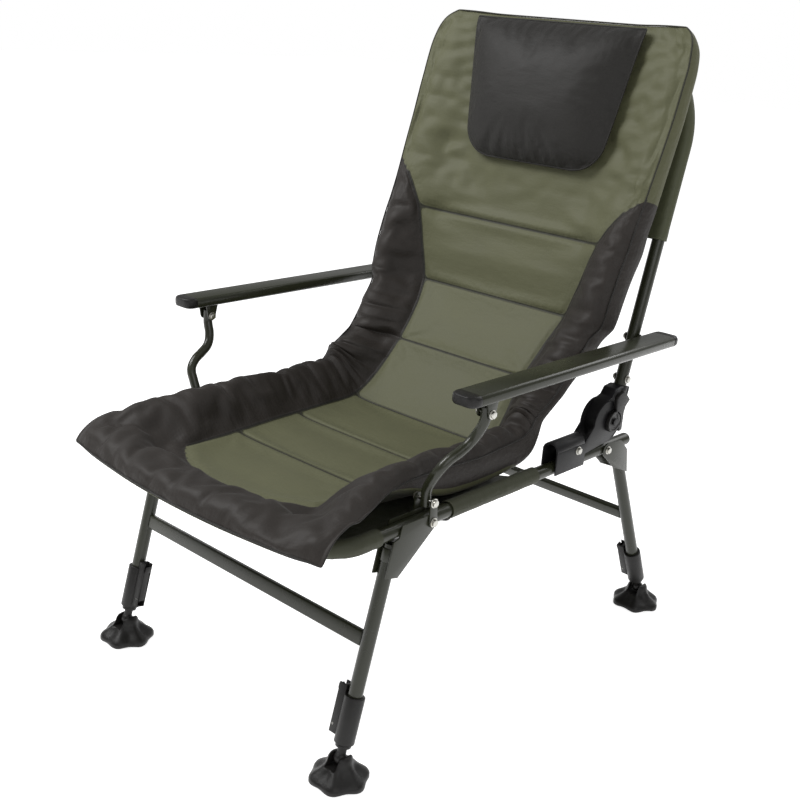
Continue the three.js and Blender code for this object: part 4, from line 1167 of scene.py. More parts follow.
def bag(face: Array, under: Array, bulge: Array) -> tuple[Array, list[list[int]]]:
    """Closes a face and an underside with rounded flanks.

    Args:
        face: rows by columns of places.
        under: the same, below them.
        bulge: how far each row's flanks stand out.

    Returns:
        The rings of points, and the corners of each face.
    """
    under = under[:, ::-1]
    right = (face[:, -1:] + under[:, :1]) / 2
    left = (face[:, :1] + under[:, -1:]) / 2
    right[..., 0] += bulge
    left[..., 0] -= bulge
    points = np.concatenate([face, right, under, left], axis=1)
    rows, ring = points.shape[:2]
    columns = face.shape[1]
    quads = lattice(rows, ring, closed=True)
    index = np.arange(rows * ring).reshape(rows, ring)
    for row, forwards in ((0, False), (rows - 1, True)):
        corners = [(j, j + 1, ring - 3 - j, ring - 2 - j) for j in range(columns - 1)]
        corners += [(columns - 1, columns, columns + 1), (ring - 2, ring - 1, 0)]
        for corner in corners:
            numbers = [int(index[row, j]) for j in corner]
            quads.append(numbers if forwards else numbers[::-1])
    return points, quads


def lattice(rows: int, columns: int, closed: bool = False) -> list[list[int]]:
    """The faces between rows of points.

    Args:
        rows: how many rows.
        columns: points in each row.
        closed: whether each row is a ring.

    Returns:
        Each face's corners.
    """
    index = np.arange(rows * columns).reshape(rows, columns)
    if closed:
        index = np.concatenate([index, index[:, :1]], axis=1)
    quads = np.stack([index[:-1, :-1], index[:-1, 1:], index[1:, 1:], index[1:, :-1]], axis=-1)
    return quads.reshape(-1, 4).tolist()


def stuffed(
    name: str, sides: tuple[Array, Array], bulge: Array, cut: tuple[Array, Array, float, Array], numbers: dict
) -> Object:
    """Sews a face, two flanks and an underside into one closed piece.

    Args:
        name: the piece's name.
        sides: the face's places and the underside's, rows by columns.
        bulge: how far each row's flanks stand out.
        cut: the face's places across the cut cloth, how far apart they lie from the underside's,
            the flanks' breadth, and the rows' places along the cloth.
        numbers: values at the face, one flank, the underside and the other flank, by name.

    Returns:
        The object.
    """
    points, quads = bag(*sides, bulge)
    across, apart, flank, along = cut
    beneath = (np.sign(across) * (apart - np.abs(across)))[:, ::-1]
    flat = np.concatenate([across, across[:, -1:] + flank, beneath, across[:, :1] - flank], axis=1)
    joined = {key: np.concatenate([v * 1.0 for v in values], axis=1) for key, values in numbers.items()}
    piece = sheet_mesh(name, points, quads, np.stack([flat, along + 0 * flat], axis=-1), joined)
    return Bench(piece).outward(merge=False).done().piece


@dataclass
class PaddedMat(Assembly):
    """The long mat from the seat's front to the top of the back, sewn in panels and filled."""

    row_length: float = 0.0094
    fold_row_length: float = 0.006
    inner_columns: int = 17
    outer_columns: int = 13
    puff: float = 0.0135
    seam_width: float = 0.0125
    piping: float = 0.0016
    seat_rows: list[tuple[float, ...]] = field(
        default_factory=lambda: [
            # y, z, half width, depth, rise, bulge
            (-0.384, 0.385, 0.286, 0.008, 0.0, 0.028),
            (-0.379, 0.396, 0.2851, 0.02, 0.0018, 0.028),
            (-0.3638, 0.406, 0.282, 0.017, 0.006, 0.0266),
            (-0.3449, 0.41, 0.2791, 0.016, 0.012, 0.0224),
            (-0.326, 0.409, 0.276, 0.0148, 0.018, 0.0168),
            (-0.3, 0.392, 0.272, 0.034, 0.0402, 0.014),
            (-0.262, 0.39, 0.262, 0.038, 0.0498, 0.0084),
            (-0.2259, 0.39, 0.2511, 0.0392, 0.0558, 0.0042),
            (-0.1899, 0.3895, 0.244, 0.0384, 0.0582, 0.0014),
            (-0.1551, 0.389, 0.2411, 0.038, 0.06, 0.0),
            (-0.085, 0.39, 0.242, 0.0392, 0.0582, 0.0),
            (-0.0141, 0.389, 0.2431, 0.038, 0.0558, 0.0),
            (0.058, 0.3902, 0.242, 0.0396, 0.058, 0.0),
            (0.096, 0.3906, 0.2411, 0.0384, 0.06, 0.0),
        ]
    )
    back_rows: list[tuple[float, ...]] = field(
        default_factory=lambda: [
            # height along the back, stand-out, half width, depth, rise
            (0.034, 0.1, 0.2411, 0.044, 0.042),
            (0.0678, 0.082, 0.2437, 0.048, 0.044),
            (0.0997, 0.066, 0.2477, 0.05, 0.047),
            (0.1279, 0.0521, 0.25, 0.05, 0.0498),
            (0.1548, 0.044, 0.2631, 0.0505, 0.0522),
            (0.1899, 0.043, 0.266, 0.05, 0.0522),
            (0.2218, 0.043, 0.2671, 0.05, 0.0498),
            (0.255, 0.042, 0.268, 0.05, 0.0468),
            (0.2869, 0.0405, 0.2691, 0.0495, 0.042),
            (0.3201, 0.0405, 0.2691, 0.0475, 0.0378),
            (0.3451, 0.041, 0.27, 0.05, 0.0342),
            (0.4002, 0.0418, 0.272, 0.0504, 0.0282),
            (0.4553, 0.0418, 0.274, 0.0504, 0.0222),
            (0.5198, 0.041, 0.276, 0.05, 0.018),
            (0.5799, 0.0402, 0.276, 0.0488, 0.015),
            (0.6249, 0.0381, 0.27, 0.046, 0.012),
            (0.65, 0.034, 0.258, 0.034, 0.0078),
            (0.66, 0.0221, 0.244, 0.014, 0.0102),
        ]
    )
    lift_at: tuple[float, ...] = (0, 0.36, 0.6, 0.69, 0.78, 0.88, 0.96, 1.0)
    lift_share: tuple[float, ...] = (0, 0, 0.03, 0.32, 0.73, 0.98, 1, 0.9)
    thin_share: tuple[float, ...] = (1, 1, 0.95, 0.96, 0.96, 0.84, 0.5, 0.2)
    full_share: tuple[float, ...] = (1, 1, 1, 1, 1, 0.97, 0.9, 0.72)

    def __post_init__(self) -> None:
        """Lays out the mat's line and its seams."""
        self._lay_out()
        self._sew()

    def _lay_out(self) -> None:
        """Works out the line of the face, and every size along it."""
        rows = [[y, z, 0.0, *sizes] for y, z, *sizes in self.seat_rows]
        upper = []
        for along, out, *sizes in self.back_rows:
            y = HINGE_Y - out * math.cos(BACK_LEAN) + along * math.sin(BACK_LEAN)
            z = HINGE_HEIGHT + out * math.sin(BACK_LEAN) + along * math.cos(BACK_LEAN)
            upper.append([y, z, math.pi / 2 - BACK_LEAN, *sizes, 0.0])
        start, end = rows[-1], Vector(upper[0][:2])
        leaving = Vector([far - near for near, far in zip(upper[0][:2], upper[1][:2])]).normalized() * 0.06
        corners = [Vector(start[:2]), Vector((start[0] + 0.06, start[1])), end - leaving, end]
        for i in range(1, 8):
            t = i / 8
            shares = ((1 - t) ** 3, 3 * t * (1 - t) ** 2, 3 * t**2 * (1 - t), t**3)
            p = sum((corner * share for corner, share in zip(corners, shares)), Vector((0, 0)))
            turn = (math.pi / 2 - BACK_LEAN) * t * t * (3 - 2 * t)
            mixed = [a + (b - a) * t for a, b in zip(start[3:], upper[0][3:])]
            mixed[2] += 0.012 * math.sin(math.pi * t)
            rows.append([p.x, p.y, turn, *mixed])
        self.table = np.array(rows + upper)
        steps = np.hypot(np.diff(self.table[:, 0]), np.diff(self.table[:, 1]))
        self.stations = np.concatenate([[0.0], np.cumsum(steps)])
        self.length = float(self.stations[-1])
        self.seat_end = float(self.stations[len(self.seat_rows) - 1])
        self.back_start = float(self.stations[len(self.seat_rows) + 7])

    def along_seat(self, y: float) -> float:
        """How far along the mat a place on the seat lies."""
        last = len(self.seat_rows)
        return float(np.interp(y, self.table[:last, 0], self.stations[:last]))

    def along_back(self, z: float) -> float:
        """How far along the mat a height on the back lies."""
        first = len(self.seat_rows) + 7
        return float(np.interp(z, self.table[first:, 1], self.stations[first:]))

    def _sew(self) -> None:
        """Places the sewn lines: across the panel, up its sides and round its front."""
        seat, back = self.along_seat, self.along_back
        self.fold = self.seat_end + 0.13 * (self.back_start - self.seat_end) + 0.01
        self.cross_seams = [seat(-0.155), seat(-0.014), self.fold, back(0.492), back(0.593), back(0.72)]
        lower = ((-0.384, 0.15), (-0.262, 0.155), (-0.19, 0.153), (-0.1, 0.155), (0.0, 0.158))
        upper = (
            *((0.49, 0.145), (0.54, 0.15), (0.593, 0.163), (0.65, 0.18), (0.72, 0.203)),
            *((0.76, 0.228), (0.79, 0.256), (0.81, 0.285), (0.83, 0.34)),
        )
        side = [(seat(y), half) for y, half in lower] + [(self.fold, 0.156)]
        side += [(back(z), half) for z, half in upper] + [(self.length, 0.6)]
        self.side_at, self.side_half = np.array(side).T.copy()
        bolster = [
            (0.0, 0.0, 0.0),
            (seat(-0.24), 0.0, 0.0),
            (seat(-0.06), 0.9, 0.6),
            (self.seat_end + 0.035, 1.0, 0.5),
            (self.seat_end + 0.1, 0.75, 0.1),
            (back(0.56), 1.0, 0.35),
            (back(0.66), 1.0, 0.45),
            (back(0.73), 1.0, 0.65),
            (back(1.04), 1.0, 0.6),
            (self.length, 0.0, 0.0),
        ]
        self.bolster_at, self.bolster_share, self.level_share = np.array(bolster).T.copy()
        self.front_seam = seat(-0.312)
        self.front_corner = seat(-0.262) - self.front_seam

    def reach(self, along: Array) -> Array:
        """The olive panel's half width."""
        return spline(self.side_at, self.side_half, along)

    def _fields(self, along: Array, across: Array, half: Array) -> tuple[Array, ...]:
        """Distances on the cloth: to the panel's edge, to a cross seam and to the mat's rim.

        Args:
            along: places along the mat.
            across: places across it, in metres.
            half: the mat's half width there.

        Returns:
            The panel's signed distance, the nearest cross seam's, and the rim's.
        """
        step = 0.004
        tilt = (self.reach(along + step) - self.reach(along - step)) / (2 * step)
        to_side = (self.reach(along) - np.abs(across)) / np.sqrt(1 + tilt**2)
        to_front = along - self.front_seam - self.front_corner * (np.abs(across) / 0.155) ** 2
        panel = np.minimum(to_side, to_front)
        cross = np.min([np.abs(along - s) for s in self.cross_seams], axis=0)
        rim = np.minimum(half - np.abs(across), np.minimum(along, self.length - along))
        return panel, cross, rim

    def _stations(self) -> Array:
        """Where the rows lie: one on each seam, and closer together in the fold.

        Returns:
            The places along the mat.
        """
        dense = (self.along_seat(0.0), self.along_back(0.56))
        knots = sorted({0.0, self.length, self.front_seam, *dense, *self.cross_seams})
        rows = [np.array([0.0, 0.003])]
        for low, high in zip(knots[:-1], knots[1:]):
            tight = dense[0] - 1e-6 <= low and high <= dense[1] + 1e-6
            count = max(2, round((high - low) / (self.fold_row_length if tight else self.row_length)))
            rows.append(np.linspace(low, high, count + 1)[1:])
            for seam in (low, high):
                if seam in self.cross_seams:
                    rows.append(np.array([seam + (0.0028 if seam == low else -0.0028)]))
        places = np.unique(np.concatenate(rows))
        return places[np.concatenate([[True], np.diff(places) > 0.0012])]

    def surface(self, along: Array, shares: Array) -> dict[str, Array]:
        """The mat's face and underside before it is filled.

        Args:
            along: places along the mat, as a column.
            shares: places across it as shares of its half width, a row for each place.

        Returns:
            The points of the face and underside, and the sizes and distances there.
        """
        y, z, facing, half, depth, rise, bulge = (
            spline(self.stations, self.table[:, k], along.ravel())[:, None] for k in range(7)
        )
        size = np.abs(shares)
        lift, thin, full = (
            spline(np.array(self.lift_at), np.array(values, float), size.ravel()).reshape(size.shape)
            for values in (self.lift_share, self.thin_share, self.full_share)
        )
        bolster = spline(self.bolster_at, self.bolster_share, along)
        level = spline(self.bolster_at, self.level_share, along)
        out = np.stack([0 * facing, -np.sin(facing), np.cos(facing)], axis=-1)
        across = shares * half
        base = np.stack([across, y + CHAIR_SHIFT - bulge * (1 - shares**2), z + 0 * shares], axis=-1)
        face = base + out * (rise * lift)[..., None]
        thick = depth * (thin + (full - thin) * bolster)
        under = base + out * (rise * lift * (1 - level) - thick)[..., None]
        panel, cross, rim = self._fields(along, across, half)
        return {
            "out": out + 0 * face,
            "across": across,
            "half": half,
            "depth": depth + 0 * shares,
            "face": face,
            "under": under,
            "bolster": bolster + 0 * shares,
            "panel": panel,
            "cross": cross,
            "rim": rim,
        }

    def _relief(self, along: Array, parts: dict[str, Array]) -> Array:
        """How far the filling lifts the face, with the seams' grooves and the gathers' creases.

        Args:
            along: places along the mat, as a column.
            parts: what surface gave.

        Returns:
            The lift in metres.
        """
        panel, cross, rim, across = parts["panel"], parts["cross"], parts["rim"], parts["across"]
        olive = panel > 0
        waist_seam = np.abs(along - self.cross_seams[3]) + 0 * across
        seam = np.where(olive, np.minimum(np.abs(panel), cross), np.minimum(np.abs(panel), waist_seam))
        swell = 1 - np.exp(-((seam / self.seam_width) ** 0.72))
        swell = swell * (1 - np.exp(-((np.maximum(rim, 0) / 0.012) ** 1.4)))
        height = self.puff * (swell - 0.7) * np.clip(parts["depth"] / 0.03, 0.35, 1)
        black = np.clip(-panel / 0.02, 0, 1)
        fold = np.exp(-(((along - self.fold - 0.035) / 0.1) ** 2))
        in_back = np.clip((along - self.fold) / 0.1, 0, 1)
        front = np.clip((self.front_seam + self.front_corner - along) / 0.03, 0, 1)
        away = np.minimum(1, np.maximum(rim, 0) / 0.008)
        wing = gathers(11, along, across, (9, 25), 6) * (0.35 + 0.65 * fold + 0.15 * in_back)
        border = gathers(5, across, along, (5, 15), 8) * 0.45
        height = height + 0.0105 * black * away * (wing * (1 - front) + border * front)
        mitre_share = np.clip((self.front_corner + self.front_seam - along) / self.front_corner, 0, 3)
        mitre = np.abs(np.abs(across) - 0.157 - 0.055 * mitre_share)
        height = height - 0.004 * np.exp(-((mitre / 0.012) ** 2)) * front * (panel < 0)
        top = np.clip((along - self.along_back(0.74)) / 0.06, 0, 1) * olive
        near_pillow = np.exp(-(((np.abs(across) - 0.2) / 0.07) ** 2))
        pulls = gathers(23, along, across, (11, 24), 14, 0.55)
        pulls = pulls + 0.8 * gathers(29, along, across, (6, 15), 20, 0.5)
        below = np.exp(-(((along - self.along_back(0.79)) / 0.035) ** 2)) * (np.abs(across) < 0.2)
        fans = gathers(31, across, along, (9, 22), 12)
        return height + 0.0086 * top * away * near_pillow * pulls + 0.006 * olive * below * fans

    def build(self) -> None:
        """Models the mat, fills it, gives it its finish and takes the frame's pads out of view."""
        along = self._stations()[:, None]
        half = spline(self.stations, self.table[:, 3], along.ravel())[:, None]
        seam_share = np.clip(self.reach(along) / half, 0.3, 0.9)
        inner = np.linspace(0, 1, self.inner_columns + 1)[None, :] ** 0.9 * seam_share
        outer = seam_share + (1 - seam_share) * np.linspace(0, 1, self.outer_columns + 1)[None, 1:]
        right = np.concatenate([inner, outer], axis=1)
        shares = np.concatenate([-right[:, :0:-1], right], axis=1)
        parts = self.surface(along, shares)
        lifted = parts["face"] + parts["out"] * self._relief(along, parts)[..., None]
        piece = self._skin(along, lifted, parts)
        Filling(pressure=2.4, growth=0.06, reach=0.012).fill(piece)
        self._pipe(piece, len(along), shares.shape[1])
        made = Bench(piece).smooth().finish(self.finishes.mat, 180)
        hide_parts("seat_pad", "waist_pad", "back_pad")
        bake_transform(made)
        log.info("%s: %d faces", made.name, len(made.data.polygons))

    def _skin(self, along: Array, face: Array, parts: dict[str, Array]) -> Object:
        """Sews the face, the flanks and the underside into one closed piece.

        Args:
            along: places along the mat, as a column.
            face: the face's points.
            parts: what surface gave.

        Returns:
            The object.
        """
        panel, cross, rim, across, half = (parts[key] for key in ("panel", "cross", "rim", "across", "half"))
        in_hinge = (along > self.seat_end) & (along < self.along_back(0.56))
        room = np.where(in_hinge, 0.2488 - half, 0.009)
        bulge = np.clip(0.002 + 0.007 * parts["bolster"][:, :1], 0, np.clip(room, 0, 0.009))
        seam = np.where(panel > 0, np.minimum(np.abs(panel), cross), np.abs(panel))
        side, none = np.ones_like(rim[:, :1]), 0 * rim
        flank = np.clip(panel[:, :1], -0.03, 0.03)
        end = np.minimum(along - self.seat_end, self.along_back(0.8) - along)
        end = np.maximum(end, self.along_seat(-0.2) - along)
        inside = 0.8 * half - np.abs(across[:, ::-1])
        hidden = np.clip(np.maximum(inside, -end), -0.03, 0.03)
        held = (seam < 0.0035) | (rim < 0.003)
        slack = np.clip(-panel / 0.03, 0, 1) * np.clip(rim / 0.02, 0, 1)
        numbers = {
            "panel": [np.clip(panel, -1, 1), flank, hidden, flank],
            "pucker": [np.exp(-seam / 0.02) + np.exp(-rim / 0.02), side, 0.3 + none, side],
            "held": [held, side, 1 + none, side],
            "slack": [slack, 0 * side, none, 0 * side],
            "seam": [np.minimum(seam, 0.03), 0.03 * side, 0.03 + none, 0.03 * side],
        }
        cut = (across, 2 * half + 0.04, 0.02, along)
        return stuffed("padded_mat", (face, parts["under"]), bulge, cut, numbers)

    def _pipe(self, piece: Object, rows: int, columns: int) -> None:
        """Sews a thin piping round the edge of the face.

        Args:
            piece: the mat, filled.
            rows: rings along it.
            columns: points across its face.
        """
        cord = rope(rim_of(places_of(piece.data).reshape(rows, -1, 3)[:, :columns]), self.piping)
        layer = cord.piece.data.attributes.new("panel", "FLOAT", "POINT")
        layer.data.foreach_set("value", [0.05 if v.co.z > 0.81 else -0.05 for v in cord.piece.data.vertices])
        Bench(piece).join(cord)


def around(line: Array, radius: Array | float, turns: Array, loop: bool) -> Array:
    """Rings of points round a line.

    Args:
        line: the line's places.
        radius: the rings' radius, one number or one for each point.
        turns: each point's angle in its ring.
        loop: whether the line closes on itself.

    Returns:
        Rings by turns of places.
    """
    ahead = np.roll(line, -1, axis=0) - np.roll(line, 1, axis=0) if loop else np.gradient(line, axis=0)
    ahead /= np.maximum(np.linalg.norm(ahead, axis=1, keepdims=True), 1e-9)
    aside = np.cross(ahead, (0.0, 0.0, 1.0))
    aside /= np.maximum(np.linalg.norm(aside, axis=1, keepdims=True), 1e-9)
    above = np.cross(aside, ahead)
    round_it = np.cos(turns)[None, :, None] * aside[:, None] + np.sin(turns)[None, :, None] * above[:, None]
    return line[:, None] + np.broadcast_to(radius, (len(line), len(turns)))[..., None] * round_it


def rope(line: Array, radius: float) -> Bench:
    """A thin closed cord through a loop of places.

    Args:
        line: the loop's places, in order.
        radius: the cord's radius.

    Returns:
        The bench, in object mode.
    """
    sides = 6
    turns = np.linspace(0, 2 * math.pi, sides, endpoint=False)
    points = around(line, radius, turns, loop=True)
    points = np.concatenate([points, points[:1]], axis=0)
    flat = np.zeros((len(points), sides, 2))
    flat[..., 1] = np.arange(len(points))[:, None] * 0.008
    cord = sheet_mesh("piping", points, lattice(len(points), sides, closed=True), flat, {})
    return Bench(cord).outward().done()


# The frame


@dataclass
class SeatFrame(Assembly):
    """The bent seat tube, the recline brackets, the links and the leg pivots."""

    tube: float = 0.011
    hoop: float = 0.06
    front_y: float = -0.3503
    rear_y: float = 0.392
    bracket: tuple[float, float] = (0.0125, 0.0155)
    link: tuple[float, float] = (0.0143, 0.0167)

    def build(self) -> None:
        """Models every piece on the seat frame."""
        self._seat_tube()
        for side in Side:
            self._bracket(side)
            self._link(side)
            for name, y, grip in (("front", FRONT_PIVOT_Y, 0.017), ("rear", REAR_PIVOT_Y, 0.0143)):
                bolt = hex_bolt(datum(RAIL_X, y, RAIL_HEIGHT), grip, self.finishes.zinc)
                names = (f"{name}_pivot_screw", f"{name}_pivot_bolt")
                self.pair(bolt, side, names, self.finishes.zinc, "seat_frame")

    def _seat_tube(self) -> None:
        """One tube: forward along the left rail, across the front and back along the right."""
        end = self.rear_y - self.tube
        bender = TubeBender("seat_tube", self.tube, datum(RAIL_X, end, RAIL_HEIGHT), -Y)
        bender.hoop(end - (self.front_y + self.hoop), 2 * (RAIL_X - self.hoop), self.hoop)
        tube = bender.bench.outward().done()
        caps = []
        for x in (RAIL_X, -RAIL_X):
            cap = TubeBender("cap", self.tube, datum(x, end, RAIL_HEIGHT), Y)
            caps.append(cap.run(0.004).dome(5).bench.outward().done())
        nodes = ["seat_rail_left", "seat_rail_right", "seat_front_tube"]
        self.hand_over(tube.join(*caps), self.finishes.paint, "seat_frame", nodes)

    def _bracket(self, side: Side) -> None:
        """The pressed bracket that straddles the rail, with its bolt and rivet.

        Args:
            side: the side wanted.
        """
        steel = self.finishes.steel
        front, rear = HINGE_Y - 0.153 + CHAIR_SHIFT, HINGE_Y - 0.07 + CHAIR_SHIFT
        foot, shoulder = RAIL_HEIGHT - 0.008, RAIL_HEIGHT + 0.0315
        outline = [
            (front, foot),
            (rear, foot),
            (rear, RAIL_HEIGHT + 0.012),
            *arc(HINGE_Y - 0.012 + CHAIR_SHIFT, HINGE_HEIGHT, 0.038, -75, 180, 22),
            (rear, shoulder + 0.004),
            (rear - 0.004, shoulder),
            (front, shoulder),
        ]
        inside, outside = self.bracket
        outer, inner = twins(outline, RAIL_X, self.bracket, 0.0009, steel)
        over = [*arc(RAIL_X, shoulder, outside, 0, 180, 20), *arc(RAIL_X, shoulder, inside, 180, 0, 20)]
        bent = [Vector((x, front, z)) for x, z in over]
        bridge = Bench.outline("bridge", bent, Y * (rear - front - 0.004)).soften(0.0007).wear(steel)
        bolt = hex_bolt(datum(RAIL_X, HINGE_Y - 0.092, RAIL_HEIGHT + 0.023), outside, self.finishes.zinc)
        hinge = datum(RAIL_X, HINGE_Y, HINGE_HEIGHT)
        rivet = [Bench.drum("rivet", 0.004, 0.0403, hinge + X * 0.0039, X, 24).wear(steel)]
        for x in (0.0249, -0.0165):
            rivet.append(Bench.drum("head", 0.007, 0.002, hinge + X * x, X, 28).soften(0.0009, 3).wear(steel))
        whole = outer.join(inner, bridge, bolt, *rivet)
        self.pair(whole, side, ("recline_plates", "recline_bracket"), steel, "seat_frame")

    def _link(self, side: Side) -> None:
        """Two rounded link plates above the front pivot, with the arm support's bolt.

        Args:
            side: the side wanted.
        """
        outline = [
            *arc(LINK_Y + CHAIR_SHIFT, LINK_HEIGHT, 0.0075, 0, 180, 12),
            *arc(FRONT_PIVOT_Y + CHAIR_SHIFT, RAIL_HEIGHT, 0.0085, 180, 360, 12),
        ]
        outer, inner = twins(outline, RAIL_X, self.link, 0.0006, self.finishes.paint)
        bolt = hex_bolt(datum(RAIL_X, LINK_Y, LINK_HEIGHT), self.link[1], self.finishes.zinc)
        whole = outer.join(inner, bolt)
        self.pair(whole, side, ("support_link", "arm_link"), self.finishes.paint, "seat_frame")


@dataclass
class Backrest(Assembly):
    """The bent back tube and the hinge sockets at its feet."""

    offset: float = BACK_OFFSET
    foot: float = 0.04
    top: float = 0.645
    hoop: float = 0.17
    socket: float = 0.0122
    lever: float = 0.062

    def build(self) -> None:
        """Models the back tube and the sockets."""
        bender = TubeBender("back_tube", 0.011, Vector((RAIL_X, self.offset, self.foot)), Z)
        bender.hoop(self.top - self.hoop - self.foot, 2 * (RAIL_X - self.hoop), self.hoop, 20)
        tube = bender.walled().moved(BACK_AXES).wear(self.finishes.paint)
        bolts = []
        for x in (RAIL_X, -RAIL_X):
            bolt = hex_bolt(Vector((x, self.offset, 0.074)), 0.0108, self.finishes.zinc)
            bolts.append(bolt.moved(BACK_AXES))
        nodes = ["back_tube_left", "back_tube_right", "back_top_tube"]
        self.hand_over(tube.join(*bolts), self.finishes.paint, "backrest", nodes)
        for side in Side:
            self._socket(side)
            self._lever(side)

    def _socket(self, side: Side) -> None:
        """The cast socket that holds the back tube and turns in the bracket.

        Args:
            side: the side wanted.
        """
        outline = [
            *arc(0, 0, 0.04, 158, 385, 24),
            (self.offset + 0.014, 0.047),
            (self.offset + 0.014, 0.062),
            (self.offset - 0.014, 0.062),
            (-0.0064, 0.0552),
            (-0.0124, 0.0412),
            (-0.0284, 0.032),
        ]
        body = plate("socket", outline, RAIL_X - self.socket, RAIL_X + self.socket)
        body.faces(0, 0.9).inset(0.0035).inset(0.0012, -0.0016).soften(0.0011)
        collar = Bench.drum("collar", 0.0140, 0.02, Vector((RAIL_X, self.offset, 0.052)), Z, 36)
        whole = body.join(collar.soften(0.0012)).moved(BACK_AXES)
        self.pair(whole, side, ("back_socket", "hinge_socket"), self.finishes.steel, "backrest")

    def _lever(self, side: Side) -> None:
        """The release lever on the outer face of the hinge.

        Args:
            side: the side wanted.
        """
        head = (
            *((0.29, -0.35), (0.42, -0.31), (0.42, 0.18), (0.47, 0.36), (0.66, 0.53)),
            *((0.47, 0.71), (0.31, 0.84), (0.08, 0.77), (0, 0.68), (0.02, 0.34)),
        )
        inner, outer = RAIL_X + 0.0161, RAIL_X + 0.0236
        outline = [(y * self.lever, z * self.lever) for y, z in head]
        paddle = plate("lever", outline, inner, outer).soften(0.0016, 3)
        hub = Bench.drum("hub", 0.019, outer - inner, X * (inner + outer) / 2, X, 40)
        hub.faces(0, 0.9, either=False).inset(0.004).inset(0.001, -0.001).soften(0.0012)
        whole = paddle.join(hub).moved(Matrix.Translation(datum(0, HINGE_Y, HINGE_HEIGHT)))
        self.pair(whole, side, ("release_lever", "recline_lever"), self.finishes.plastic, "recline_lever_")


def grid_piece(name: str, points: Array, flat: Array, thickness: float) -> Bench:
    """A panel of cloth from rows of points, with the weave laid along its cut.

    Args:
        name: the panel's name.
        points: rows by columns of places.
        flat: rows by columns of places on the cut cloth, in metres.
        thickness: the cloth's thickness.

    Returns:
        The bench, in object mode.
    """
    pucker = np.full(points.shape[:2], 0.35)
    cloth = sheet_mesh(name, points, lattice(*pucker.shape), flat, {"pucker": pucker})
    return Bench(cloth).thicken(thickness, 0)


